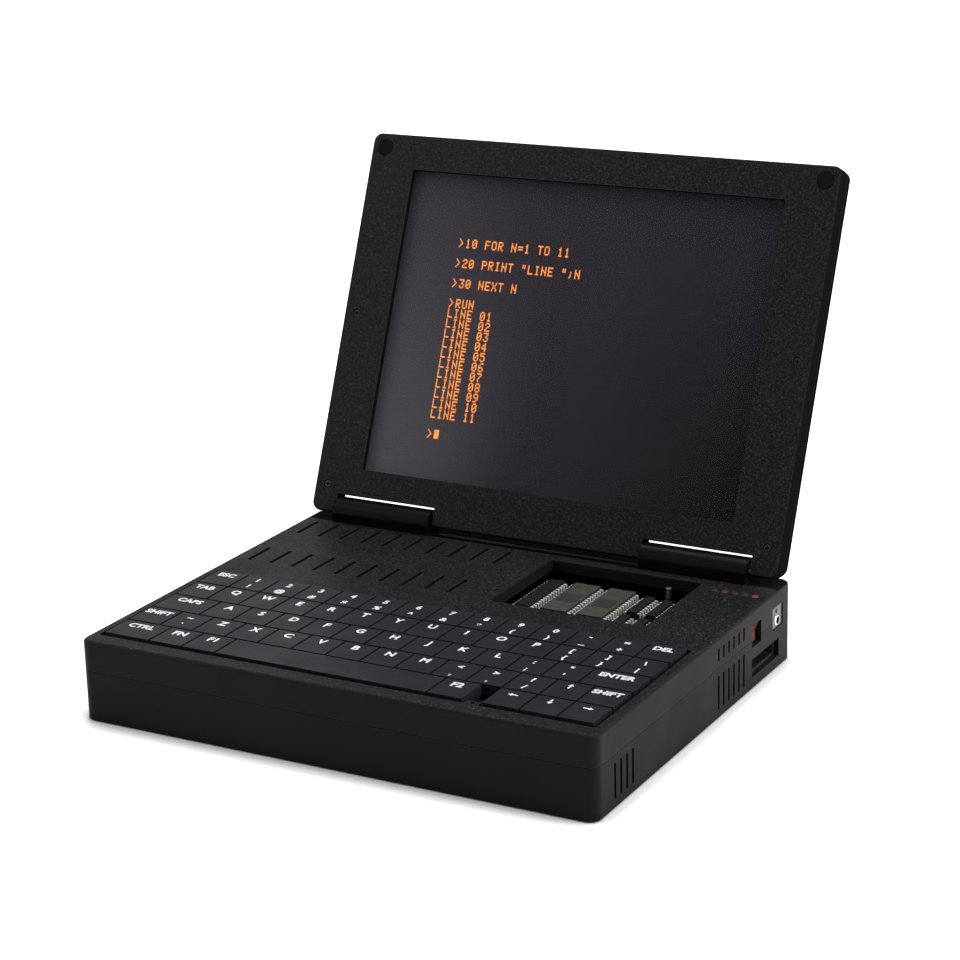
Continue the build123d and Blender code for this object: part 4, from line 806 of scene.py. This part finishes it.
@dataclass(frozen=True)
class Palette:
    """Every finish of the laptop."""

    case: GrainedPlastic = GrainedPlastic(
        "case_plastic", (0.008, 0.008, 0.0081), (0.03, 0.03, 0.03), (0.022, 0.022, 0.023),
        (0.0045, 0.0045, 0.0046), roughness=0.54, specular=0.07, pebble=1500.0, tips=0.6, depth=0.4,
    )
    deck: GrainedPlastic = GrainedPlastic(
        "deck_plastic", (0.0058, 0.0058, 0.006), (0.066, 0.066, 0.068), (0.038, 0.038, 0.039),
        (0.0078, 0.0078, 0.0079), roughness=0.5, specular=0.055, pebble=1500.0, tips=0.52, depth=0.7,
        soft=0.24, top=37.6 * MM, rear=84.3 * MM,
    )
    # The bezel's dark side colour is painted shade on the lid's sides.
    bezel: GrainedPlastic = GrainedPlastic(
        "bezel_plastic", (0.0135, 0.0135, 0.0136), (0.06, 0.06, 0.06), (0.05, 0.05, 0.05),
        (0.006, 0.006, 0.0061), roughness=0.58, specular=0.0, pebble=1400.0, tips=0.48, depth=0.9,
        soft=0.28, way=LID_FRONT, fade=0.1,
    )
    cover: GrainedPlastic = GrainedPlastic(
        "cover_plastic", (0.0095, 0.0095, 0.0096), (0.05, 0.05, 0.05), (0.03, 0.03, 0.03),
        (0.0035, 0.0035, 0.0036), roughness=0.58, specular=0.0, pebble=1800.0, tips=0.5, depth=0.6,
        soft=0.28, way=scaled(LID_FRONT, -1.0),
    )
    keys: SatinPlastic = SatinPlastic("key_plastic", (0.0155, 0.0146, 0.019), roughness=0.45, specular=0.06)
    frame: SatinPlastic = SatinPlastic("frame_plastic", (0.03, 0.029, 0.032), roughness=0.6, specular=0.1)
    socket: SatinPlastic = SatinPlastic("socket_plastic", (0.009, 0.009, 0.0095), roughness=0.5, specular=0.1)
    rubber: GrainedPlastic = GrainedPlastic(
        "soft_rubber", (0.009, 0.009, 0.009), (0.025, 0.025, 0.025), (0.022, 0.022, 0.022),
        (0.006, 0.006, 0.006), roughness=0.8, specular=0.0, pebble=2500.0, tips=0.6, depth=0.2, way=LID_FRONT,
    )
    port: SatinPlastic = SatinPlastic("port_plastic", (0.014, 0.018, 0.016), roughness=0.4, specular=0.3)
    rocker: SatinPlastic = SatinPlastic(
        "switch_red", (0.2, 0.05, 0.055), roughness=0.3, specular=0.4, coat=0.2,
    )
    film: SatinPlastic = SatinPlastic("contact_film", (0.35, 0.35, 0.32), roughness=0.35)
    wrap: SatinPlastic = SatinPlastic("battery_wrap", (0.03, 0.07, 0.2), roughness=0.25, coat=0.3)
    laminate: BoardLaminate = BoardLaminate()
    tinned: BareMetal = BareMetal("tinned_leads", (0.85, 0.84, 0.81), roughness=0.35, metallic=0.4)
    can: BareMetal = BareMetal("drawn_can", (0.13, 0.13, 0.125), roughness=0.35)
    panel: BareMetal = BareMetal("panel_metal", (0.15, 0.15, 0.147), roughness=0.45, tarnish=0.2)
    screw: BareMetal = BareMetal("dark_screws", (0.03, 0.03, 0.031), roughness=0.45)
    steel: BareMetal = BareMetal("ground_steel", (0.45, 0.45, 0.45), roughness=0.3)
    display: DisplayFilm = DisplayFilm()
    pane: SmokedPane = SmokedPane()
    ink: PrintedInk = PrintedInk()
    # Dark plates on the lid screw heads: painted shade of their slots and gaps.
    mark: SatinPlastic = SatinPlastic("painted_slot_shade", (0.0015, 0.0015, 0.0015), roughness=0.7, specular=0.0)
    glow: GlowInk = GlowInk("lit_dots", (1.0, 0.4, 0.11), 1.2)
    halo: GlowInk = GlowInk("lit_dot_edges", (0.62, 0.05, 0.006), 0.95)


NODE_FINISHES = {
    "case": ("bottom_shell",),
    "deck": ("top_case",),
    "bezel": ("lid_bezel",),
    "cover": ("lid_cover",),
    "rubber": ("rubber_feet", "lid_bumpers"),
    "frame": ("key_frame", "switch_frame"),
    "socket": ("chip_sockets", "speaker"),
    "port": ("expansion_socket",),
    "rocker": ("switch_rocker",),
    "film": ("key_membrane",),
    "wrap": ("battery_pack",),
    "laminate": ("main_board", "upper_board", "display_board"),
    "tinned": ("chip_pins",),
    "can": ("crystal_can",),
    "panel": ("jack_panel", "panel_screw"),
    "screw": ("case_screws", "lid_screws", "board_standoffs"),
    "steel": ("hinge_pin_left", "hinge_pin_right", "key_backplate"),
    "display": ("display_panel",),
    "pane": ("screen_glass",),
}


def dress(node: bpy.types.Object, material: bpy.types.Material) -> None:
    """Gives a piece one finish all over.

    Args:
        node: the piece.
        material: its finish.
    """
    if not node.data.materials:
        node.data.materials.append(material)
    for slot in node.material_slots:
        slot.material = material


def add_piece(name: str, mesh: bpy.types.Mesh, body: str, finish: bpy.types.Material) -> bpy.types.Object:
    """Adds a new piece that rides on a body.

    Args:
        name: name of the piece.
        mesh: its mesh, already in place.
        body: the body that carries it.
        finish: its material.

    Returns:
        The new object.
    """
    piece = bpy.data.objects.new(name, mesh)
    bpy.context.scene.collection.objects.link(piece)
    dress(piece, finish)
    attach(piece, body)
    LOG.info("%s on %s, %d faces", name, body, len(mesh.polygons))
    return piece


def points_of(mesh: bpy.types.Mesh) -> np.ndarray:
    """Corner points of a mesh, one row each.

    Args:
        mesh: the mesh.

    Returns:
        The points.
    """
    flat = np.empty(len(mesh.vertices) * 3)
    mesh.vertices.foreach_get("co", flat)
    return flat.reshape(-1, 3)


def slabs(low: np.ndarray, high: np.ndarray) -> tuple[np.ndarray, np.ndarray]:
    """Closed blocks from their lowest and highest corners.

    Each corner takes its part from the low or the high corner, as the three bits of its number say.

    Args:
        low: lowest corners, one row a block.
        high: highest corners, one row a block.

    Returns:
        Corner points and four-sided faces.
    """
    bits = np.array([[(i >> axis) & 1 for axis in range(3)] for i in range(8)])
    points = np.where(bits[None], high[:, None], low[:, None]).reshape(-1, 3)
    faces = np.array([[0, 2, 3, 1], [4, 5, 7, 6], [0, 1, 5, 4], [2, 6, 7, 3], [0, 4, 6, 2], [1, 3, 7, 5]])
    every = (np.arange(len(low))[:, None, None] * 8 + faces[None]).reshape(-1, 4)
    return points, every


def plates(rects: np.ndarray, bottom: float, top: float) -> tuple[np.ndarray, np.ndarray]:
    """Flat closed blocks between two levels, from rows of left, lower, right and upper edge.

    Args:
        rects: left, lower, right and upper edge of each.
        bottom: lower level.
        top: upper level.

    Returns:
        Corner points and four-sided faces.
    """
    count = len(rects)
    low = np.column_stack([rects[:, :2], np.full(count, bottom)])
    high = np.column_stack([rects[:, 2:], np.full(count, top)])
    return slabs(low, high)


def mesh_from(name: str, points: np.ndarray, faces: np.ndarray) -> bpy.types.Mesh:
    """Mesh from whole arrays of points and faces.

    Args:
        name: name of the mesh.
        points: its points, one row each.
        faces: numbers of the points round each face.

    Returns:
        The mesh.
    """
    mesh = bpy.data.meshes.new(name)
    mesh.from_pydata(points.tolist(), [], faces.tolist())
    mesh.validate()
    mesh.update()
    return mesh


@dataclass
class LidPlane:
    """The lid's own directions: across, up from the hinge line, and out of its front face."""

    hinge: Vector
    lean: float = math.radians(22.93)

    def axes(self) -> np.ndarray:
        """The three directions, one row each."""
        sine, cosine = math.sin(self.lean), math.cos(self.lean)
        return np.array([(1.0, 0.0, 0.0), (0.0, sine, cosine), (0.0, -cosine, sine)])

    def root(self) -> np.ndarray:
        """The point that the three distances are counted from."""
        return np.array([0.0, self.hinge.y, self.hinge.z])

    def placed(self, points: np.ndarray) -> np.ndarray:
        """Points of the shared frame from points across, up and out."""
        return self.root() + points @ self.axes()

    def box(self, mesh: bpy.types.Mesh) -> tuple[np.ndarray, np.ndarray]:
        """Lowest and highest distances across, up and out of a mesh."""
        local = (points_of(mesh) - self.root()) @ self.axes().T
        return local.min(axis=0), local.max(axis=0)

    def add(self, name: str, shape: tuple[np.ndarray, np.ndarray], finish: bpy.types.Material) -> None:
        """Adds a piece that rides on the lid, from points across, up and out, and their faces."""
        points, faces = shape
        add_piece(name, mesh_from(name, self.placed(points), faces), "lid", finish)


@dataclass
class Lettering:
    """Cuts generic lettering from the built-in typeface as thin raised ink."""

    thickness: float = 0.03 * MM
    lean_left: float = 0.45 * MM
    weight: float = 0.034
    cap_share: float = 1.0

    def measure(self) -> None:
        """Finds what share of the type size a capital letter stands."""
        points = points_of(self.letters("H", 1.0))
        self.cap_share = float(np.ptp(points[:, 1]))

    def letters(self, text: str, cap_height: float) -> bpy.types.Mesh:
        """Mesh of a text, centred in X on its own width, with its capitals centred in Y.

        Args:
            text: the text.
            cap_height: height of its capitals in metres.

        Returns:
            The mesh, flat and level.
        """
        curve = bpy.data.curves.new("type", "FONT")
        curve.body = text
        curve.size = cap_height / self.cap_share
        curve.offset = self.weight * curve.size
        curve.extrude = self.thickness / 2
        curve.resolution_u = 3
        block = bpy.data.objects.new("type", curve)
        bpy.context.scene.collection.objects.link(block)
        bpy.context.view_layer.update()
        mesh = bpy.data.meshes.new_from_object(block.evaluated_get(bpy.context.evaluated_depsgraph_get()))
        bpy.data.objects.remove(block)
        bpy.data.curves.remove(curve)
        points = points_of(mesh)
        middle = (points[:, 0].min() + points[:, 0].max()) / 2 if len(points) else 0.0
        mesh.transform(Matrix.Translation((-middle, -cap_height / 2, 0.0)))
        return mesh

    def arrow(self, turn: float, length: float) -> bpy.types.Mesh:
        """Arrow as a shaft and a head, turned in its plane by an angle in degrees.

        Args:
            turn: angle in degrees from pointing right.
            length: length in metres.

        Returns:
            The mesh, flat and level.
        """
        half, shaft, head, neck = (share * length for share in (0.5, 0.09, 0.27, 0.08))
        outline = np.array([
            (-half, -shaft), (neck, -shaft), (neck, -head), (half, 0.0),
            (neck, head), (neck, shaft), (-half, shaft),
        ])
        angle = math.radians(turn)
        spin = np.array([[math.cos(angle), -math.sin(angle)], [math.sin(angle), math.cos(angle)]])
        flat = outline @ spin.T
        count = len(flat)
        low = np.column_stack([flat, np.full(count, -self.thickness / 2)])
        high = np.column_stack([flat, np.full(count, self.thickness / 2)])
        ring = np.arange(count)
        after = np.roll(ring, -1)
        faces = [list(ring[::-1]), list(ring + count)]
        faces += np.column_stack([ring, after, after + count, ring + count]).tolist()
        mesh = bpy.data.meshes.new("arrow")
        mesh.from_pydata(np.vstack([low, high]).tolist(), [], faces)
        mesh.update()
        return mesh


@dataclass
class Keyboard:
    """The keys with their legends."""

    gap: float = 0.85 * MM
    word_cap: float = 4.05 * MM
    letter_cap: float = 4.4 * MM
    sign_cap: float = 3.8 * MM
    rear_inset: float = 4.5 * MM
    sign_inset: float = 12.6 * MM
    sink: float = 0.01 * MM
    arrow_length: float = 4.6 * MM
    words: dict[str, str] = field(default_factory=lambda: {
        "key_escape": "ESC", "key_delete": "DEL", "key_tab": "TAB", "key_caps": "CAPS", "key_enter": "ENTER",
        "key_shift_left": "SHIFT", "key_shift_right": "SHIFT", "key_control": "CTRL", "key_function": "FN",
        "key_f1": "F1", "key_plain": "F2",
    })
    arrows: dict[str, float] = field(default_factory=lambda: {
        "key_up": 90.0, "key_left": 180.0, "key_down": -90.0, "key_right": 0.0,
    })
    rows: dict[str, tuple[str, str]] = field(default_factory=lambda: {
        "number_keys": ("1234567890-=", "!@#$%^&*()_+"),
        "upper_letter_keys": ("QWERTYUIOP[]\\", "          {}|"),
        "home_letter_keys": ("ASDFGHJKL:\"", "         ;'"),
        "lower_letter_keys": ("~ZXCVBNM<>?", "`       ,./"),
    })

    def build(self, nodes: dict[str, bpy.types.Object], type_case: Lettering, finish: bpy.types.Material,
              ink: bpy.types.Material) -> None:
        """Dresses the keys and prints their legends.

        Args:
            nodes: nodes of the frame by name.
            type_case: what the letters are cut from.
            finish: material of the keys.
            ink: material of the legends.
        """
        for name in (*self.words, *self.arrows, *self.rows, "key_space"):
            dress(nodes[name], finish)
        for name, word in self.words.items():
            cap = self.word_cap if len(word) > 2 else self.letter_cap
            self.print_on(name, [(type_case.letters(word, cap), 0, self.rear_inset)], 1, type_case, ink)
        for name, turn in self.arrows.items():
            arrow = type_case.arrow(turn, self.arrow_length)
            self.print_on(name, [(arrow, 0, self.rear_inset)], 1, type_case, ink)
        for name, (signs, shifted) in self.rows.items():
            legends = []
            for i, (sign, upper) in enumerate(zip(signs, shifted)):
                cap = self.letter_cap if sign.isalpha() else self.sign_cap
                legends.append((type_case.letters(sign, cap), i, self.rear_inset))
                if upper != " ":
                    legends.append((type_case.letters(upper, self.sign_cap), i, self.sign_inset))
            self.print_on(name, legends, len(signs), type_case, ink)

    def print_on(self, name: str, legends: list[tuple[bpy.types.Mesh, int, float]], count: int,
                 type_case: Lettering, ink: bpy.types.Material) -> None:
        """Prints the legends of one node of keys as one piece.

        Args:
            name: node of the keys.
            legends: mesh, number of the key from the left, and distance from its rear edge.
            count: how many keys the node has.
            type_case: what the letters are cut from.
            ink: material of the ink.
        """
        low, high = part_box(name)
        pitch = (high.x - low.x + self.gap) / count
        face = high.z + type_case.thickness / 2 - self.sink
        points, faces, start = [], [], 0
        for mesh, number, inset in legends:
            middle = low.x + (number + 0.5) * pitch - self.gap / 2 - type_case.lean_left
            here = points_of(mesh) + np.array([middle, high.y - inset, face])
            points.append(here)
            faces += [[start + i for i in polygon.vertices] for polygon in mesh.polygons]
            start += len(here)
            bpy.data.meshes.remove(mesh)
        mesh = bpy.data.meshes.new(name + "_legend")
        mesh.from_pydata(np.vstack(points).tolist(), [], faces)
        mesh.update()
        add_piece(name + "_legend", mesh, name, ink)


GLYPHS = {
    "0": "01110 10001 10011 10101 11001 10001 01110", "1": "00100 01100 00100 00100 00100 00100 01110",
    "2": "01110 10001 00001 00110 01000 10000 11111", "3": "11111 00001 00010 00110 00001 10001 01110",
    "4": "00010 00110 01010 10010 11111 00010 00010", "5": "11111 10000 11110 00001 00001 10001 01110",
    "6": "00111 01000 10000 11110 10001 10001 01110", "7": "11111 00001 00010 00100 01000 01000 01000",
    "8": "01110 10001 10001 01110 10001 10001 01110", "9": "01110 10001 10001 01111 00001 00010 11100",
    "E": "11111 10000 10000 11110 10000 10000 11111", "F": "11111 10000 10000 11110 10000 10000 10000",
    "I": "01110 00100 00100 00100 00100 00100 01110", "L": "10000 10000 10000 10000 10000 10000 11111",
    "N": "10001 10001 11001 10101 10011 10001 10001", "O": "01110 10001 10001 10001 10001 10001 01110",
    "P": "11110 10001 10001 11110 10000 10000 10000", "R": "11110 10001 10001 11110 10100 10010 10001",
    "T": "11111 00100 00100 00100 00100 00100 00100", "U": "10001 10001 10001 10001 10001 10001 01110",
    "X": "10001 10001 01010 00100 01010 10001 10001", "=": "00000 00000 11111 00000 11111 00000 00000",
    ">": "10000 01000 00100 00010 00100 01000 10000", '"': "01010 01010 01010 00000 00000 00000 00000",
    ";": "00000 00000 00100 00000 00100 00100 01000", "#": "11111 11111 11111 11111 11111 11111 11111",
}


@dataclass
class Display:
    """The flat display with its lit lines of plain numbered text."""

    column: float = 3.59 * MM
    line: float = 4.95 * MM
    dot_columns: int = 7
    dot_rows: int = 8
    thickness: float = 0.04 * MM
    core: float = 0.02 * MM
    edge: float = 0.15 * MM
    left: float = -68.0 * MM
    top: float = 139.1 * MM
    lines: dict[int, str] = field(default_factory=lambda: {
        0: ">10 FOR N=1 TO 11", 2: '>20 PRINT "LINE ";N', 4: ">30 NEXT N", 6: ">RUN",
        **{6 + i: f"LINE {i:02d}" for i in range(1, 12)}, 19: ">#",
    })

    def runs(self) -> np.ndarray:
        """Lit runs of dots as left, right, top and bottom counted in dots from the first line's top left.

        Returns:
            One row for each run.
        """
        found = []
        for row, text in self.lines.items():
            for place, sign in enumerate(text):
                for down, bits in enumerate(GLYPHS.get(sign, "").split()):
                    lit = np.array([0, *map(int, bits), 0])
                    edges = np.flatnonzero(np.diff(lit))
                    for first, last in edges.reshape(-1, 2):
                        left = place * self.dot_columns
                        top = row * self.dot_rows + down
                        found.append((left + first, left + last, top, top + 1))
        return np.array(found, float)

    def build(self, panel: bpy.types.Object, lid: LidPlane, film: bpy.types.Material,
              dots: bpy.types.Material, edges: bpy.types.Material) -> None:
        """Covers the front of the display panel with its film and sets the lit runs on it.

        Args:
            panel: node of the display panel.
            lid: the lid's plane.
            film: finish of the display's face.
            dots: finish of the lit dots.
            edges: finish of the weaker light round them.
        """
        near, far = lid.box(panel.data)
        face = far[2]
        front = np.array([[near[0], near[1], far[0], far[1]]])
        lid.add("display_front", plates(front, face - self.thickness, face + 0.5 * self.thickness), film)
        left, right, top, bottom = self.runs().T
        dot_x = self.column / self.dot_columns
        dot_y = self.line / self.dot_rows
        for name, grow, lift, finish in (
            ("lit_text", self.core, 2.0 * self.thickness, dots),
            ("lit_text_edges", self.edge, 0.0, edges),
        ):
            rects = np.column_stack([
                self.left + left * dot_x - grow, self.top - bottom * dot_y - grow,
                self.left + right * dot_x + grow, self.top - top * dot_y + grow,
            ])
            level = face + lift
            lid.add(name, plates(rects, level - SINK, level + self.thickness), finish)


@dataclass
class ScrewMarks:
    """Painted shade on the heads of the lid screws: thin dark plates for the shade in their cross slots and in
    the gap round each head.
    """

    across: float = 116.4 * MM
    heights: tuple[float, ...] = (96.9 * MM, 11.5 * MM)
    slot: tuple[float, float] = (1.15 * MM, 0.26 * MM)
    ring: tuple[float, float] = (1.72 * MM, 2.02 * MM)
    steps: int = 32
    thickness: float = 0.03 * MM

    def rings(self, places: list[tuple[float, float]], low: float,
              high: float) -> tuple[np.ndarray, np.ndarray]:
        """Flat closed rings between two levels.

        Each ring is four circles, the corners of its section, and quads from each circle to the next.

        Args:
            places: middles of the rings, across and up.
            low: lower level.
            high: upper level.

        Returns:
            Points across, up and out, and four-sided faces.
        """
        turn = np.linspace(0.0, 2.0 * math.pi, self.steps, endpoint=False)
        circle = np.column_stack([np.cos(turn), np.sin(turn)])
        inner, outer = self.ring
        corners = ((inner, low), (outer, low), (outer, high), (inner, high))
        points = np.concatenate([
            np.column_stack([np.array(place) + radius * circle, np.full(self.steps, level)])
            for place in places for radius, level in corners
        ])
        here = np.arange(self.steps)
        after = (here + 1) % self.steps
        starts = [
            ((4 * ring + side) * self.steps, (4 * ring + (side + 1) % 4) * self.steps)
            for ring in range(len(places)) for side in range(4)
        ]
        faces = np.concatenate([
            np.column_stack([first + here, first + after, second + after, second + here])
            for first, second in starts
        ])
        return points, faces

    def build(self, screws: bpy.types.Object, lid: LidPlane, finish: bpy.types.Material) -> None:
        """Lays the painted shade of the slots and gaps on the heads.

        Args:
            screws: node of the lid screws.
            lid: the lid's plane.
            finish: material of the marks.
        """
        face = lid.box(screws.data)[1][2]
        low, high = face - SINK, face + self.thickness
        places = [(side * self.across, height) for side in (-1, 1) for height in self.heights]
        long, wide = self.slot
        bars = [(x - a, y - b, x + a, y + b) for x, y in places for a, b in ((long, wide), (wide, long))]
        lid.add("screw_slot_shade", plates(np.array(bars), low, high), finish)
        lid.add("screw_gap_shade", self.rings(places, low, high), finish)


@dataclass
class ChipWindow:
    """The socketed chips in the deck window."""

    wide: tuple[str, ...] = ("memory_chip_middle", "memory_chip_right")
    # The left memory chip takes the dark plain resin of the small chips, as painted shade.
    plain: tuple[str, ...] = ("memory_chip_left", "logic_chips", "processor_chips")
    band_shift: float = -1.5 * MM
    band_half_width: float = 5.2 * MM
    band_half_length: float = 5.6 * MM
    wide_colour: Colour = (0.037, 0.037, 0.0335)
    band_colour: Colour = (0.027, 0.026, 0.024)
    plain_colour: Colour = (0.0075, 0.0075, 0.007)

    def build(self, nodes: dict[str, bpy.types.Object], shelf: EffectShelf) -> None:
        """Dresses each chip; the wide ones have a darker printed field.

        Args:
            nodes: nodes of the frame by name.
            shelf: the shared effects.
        """
        for name in self.wide:
            low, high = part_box(name)
            middle = ((low.x + high.x) / 2, (low.y + high.y) / 2 + self.band_shift)
            finish = ChipResin(name + "_resin", self.wide_colour, self.band_colour, middle,
                               self.band_half_width, self.band_half_length)
            dress(nodes[name], finish.build(shelf))
        plain = ChipResin("plain_resin", self.plain_colour, self.plain_colour).build(shelf)
        for name in self.plain:
            dress(nodes[name], plain)


@dataclass
class Lamps:
    """The row of five indicator lamps, the second and the last of them lit."""

    pitch: float = 4.9 * MM
    dim: Colour = (0.06, 0.012, 0.03)
    bright: Colour = (0.14, 0.018, 0.05)

    def build(self, node: bpy.types.Object, shelf: EffectShelf) -> None:
        """Dresses the lamps by their places in the row.

        Args:
            node: node of the lamps.
            shelf: the shared effects.
        """
        low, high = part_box(node.name)
        first = low.x + (high.x - low.x - 4 * self.pitch) / 2
        lit = ((first + self.pitch, self.dim), (first + 4 * self.pitch, self.bright))
        dress(node, LampLens("lamp_lens", lit).build(shelf))


@dataclass(frozen=True)
class Softbox:
    """One soft rectangular light, with its power in watts."""

    name: str
    place: tuple[float, float, float]
    aim: tuple[float, float, float]
    size: tuple[float, float]
    power: float

    def build(self) -> None:
        """Adds the light."""
        data = bpy.data.lights.new(self.name, "AREA")
        data.shape = "RECTANGLE"
        data.size, data.size_y = self.size
        data.energy = self.power
        lamp = bpy.data.objects.new(self.name, data)
        lamp.location = self.place
        lamp.rotation_euler = (Vector(self.aim) - Vector(self.place)).to_track_quat("-Z", "Y").to_euler()
        bpy.context.scene.collection.objects.link(lamp)


@dataclass
class Studio:
    """Pale floor, soft light and the camera."""

    camera_place: tuple[float, float, float] = (0.54537, -0.93722, 0.44061)
    camera_turn: tuple[float, float, float] = (72.3896, 1.4549, 28.7837)
    lens: float = 97.702
    sensor: float = 36.0
    floor_half: float = 6.0
    floor_drop: float = 0.3 * MM
    floor_colour: Colour = (0.8, 0.8, 0.8)
    shadow_reach: float = 19.0 * MM
    fill: float = 0.28
    lights: tuple[Softbox, ...] = (
        Softbox("top_light", (0.1, 0.35, 1.6), (0.0, 0.0, 0.0), (1.6, 1.2), 22.0),
        Softbox("right_light", (1.5, 0.15, 0.7), (0.0, 0.0, 0.1), (1.0, 1.0), 23.0),
        Softbox("left_light", (-1.2, -0.5, 0.8), (0.0, 0.0, 0.1), (0.7, 0.7), 6.0),
    )

    def camera(self) -> None:
        """Places the camera."""
        data = bpy.data.cameras.new("camera")
        data.lens = self.lens
        data.sensor_width = self.sensor
        data.sensor_fit = "HORIZONTAL"
        data.clip_start = 0.01
        data.clip_end = 50.0
        camera = bpy.data.objects.new("camera", data)
        camera.location = self.camera_place
        camera.rotation_euler = Euler([math.radians(angle) for angle in self.camera_turn], "XYZ")
        bpy.context.scene.collection.objects.link(camera)
        bpy.context.scene.camera = camera

    def seen(self, sheet: NodeSheet) -> Socket:
        """1 for camera, glossy and transmission rays, otherwise 0.

        Args:
            sheet: the sheet of the world or of a material.

        Returns:
            The value.
        """
        path = sheet.add("ShaderNodeLightPath").outputs
        some = sheet.math("ADD", path["Is Camera Ray"], path["Is Glossy Ray"])
        return sheet.math("ADD", some, path["Is Transmission Ray"], clamp=True)

    def world(self) -> None:
        """White background to the eye, a soft grey fill for the rest."""
        world = bpy.data.worlds.new("studio")
        bpy.context.scene.world = world
        world.use_nodes = True
        sheet = NodeSheet(world.node_tree)
        output = world.node_tree.nodes["World Output"]
        white = sheet.add("ShaderNodeBackground", {"Color": WHITE, "Strength": 1.0})
        soft = sheet.add("ShaderNodeBackground", {"Color": WHITE, "Strength": self.fill})
        both = sheet.add("ShaderNodeMixShader", {0: self.seen(sheet), 1: soft.outputs[0], 2: white.outputs[0]})
        sheet.feed(output.inputs["Surface"], both.outputs[0])

    def floor(self) -> None:
        """Pale floor: bright to the eye, with the object's soft shadow near it."""
        half = self.floor_half
        corners = np.array([(-half, -half), (half, -half), (half, half), (-half, half)])
        points = np.column_stack([corners, np.full(4, -self.floor_drop)])
        mesh = mesh_from("floor", points, np.array([[0, 1, 2, 3]]))
        plane = bpy.data.objects.new("floor", mesh)
        bpy.context.scene.collection.objects.link(plane)
        material, sheet, shader = start_material("pale_floor", self.floor_colour)
        sheet.feed(shader.inputs["Base Color"], self.floor_colour)
        shader.inputs["Roughness"].default_value = 0.9
        shader.inputs["Specular IOR Level"].default_value = 0.0
        # The emission is dimmer near the middle and where ambient occlusion finds the object close: a painted
        # shadow on the floor, added to the real one.
        far = sheet.vector_math("LENGTH", "Value", sheet.object_place())
        near = sheet.add("ShaderNodeAmbientOcclusion", {"Distance": self.shadow_reach}, samples=8)
        contact = sheet.remap(near.outputs["AO"], 0.55, 0.95)
        level = sheet.math("MULTIPLY", sheet.remap(far, 0.2, 0.6, 0.72, 1.0), contact)
        glow = sheet.mix(self.seen(sheet), BLACK, sheet.mix(level, BLACK, WHITE))
        sheet.feed(shader.inputs["Emission Color"], glow)
        shader.inputs["Emission Strength"].default_value = 1.0
        plane.data.materials.append(material)

    def build(self) -> None:
        """Sets up the studio."""
        bpy.context.scene.view_settings.view_transform = "Standard"
        self.camera()
        self.world()
        self.floor()
        for light in self.lights:
            light.build()


def main() -> None:
    """Loads the frame, then builds the studio, the finishes and the pieces in order."""
    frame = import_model()
    nodes = frame["nodes"]
    Studio().build()
    shelf = EffectShelf()
    shelf.build()
    palette = Palette()
    names = [entry.name for entry in fields(palette)]
    finishes = {name: getattr(palette, name).build(shelf) for name in names}
    for name, members in NODE_FINISHES.items():
        for member in members:
            dress(nodes[member], finishes[name])
            LOG.info("%s in %s", member, finishes[name].name)
    type_case = Lettering()
    type_case.measure()
    Keyboard().build(nodes, type_case, finishes["keys"], finishes["ink"])
    hinge = next(joint["pos_m"] for joint in frame["joints"] if joint["name"] == "lid_hinge")
    lid = LidPlane(Vector(hinge))
    Display().build(nodes["display_panel"], lid, finishes["display"], finishes["glow"], finishes["halo"])
    ScrewMarks().build(nodes["lid_screws"], lid, finishes["mark"])
    ChipWindow().build(nodes, shelf)
    Lamps().build(nodes["indicator_lamps"], shelf)
    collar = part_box("jack_panel")[1].x
    dress(nodes["audio_jack"], PlatedSocket("plated_socket", collar - 0.2 * MM).build(shelf))


if __name__ == "__main__":
    logging.basicConfig(level=logging.INFO, format="%(message)s")
    main()
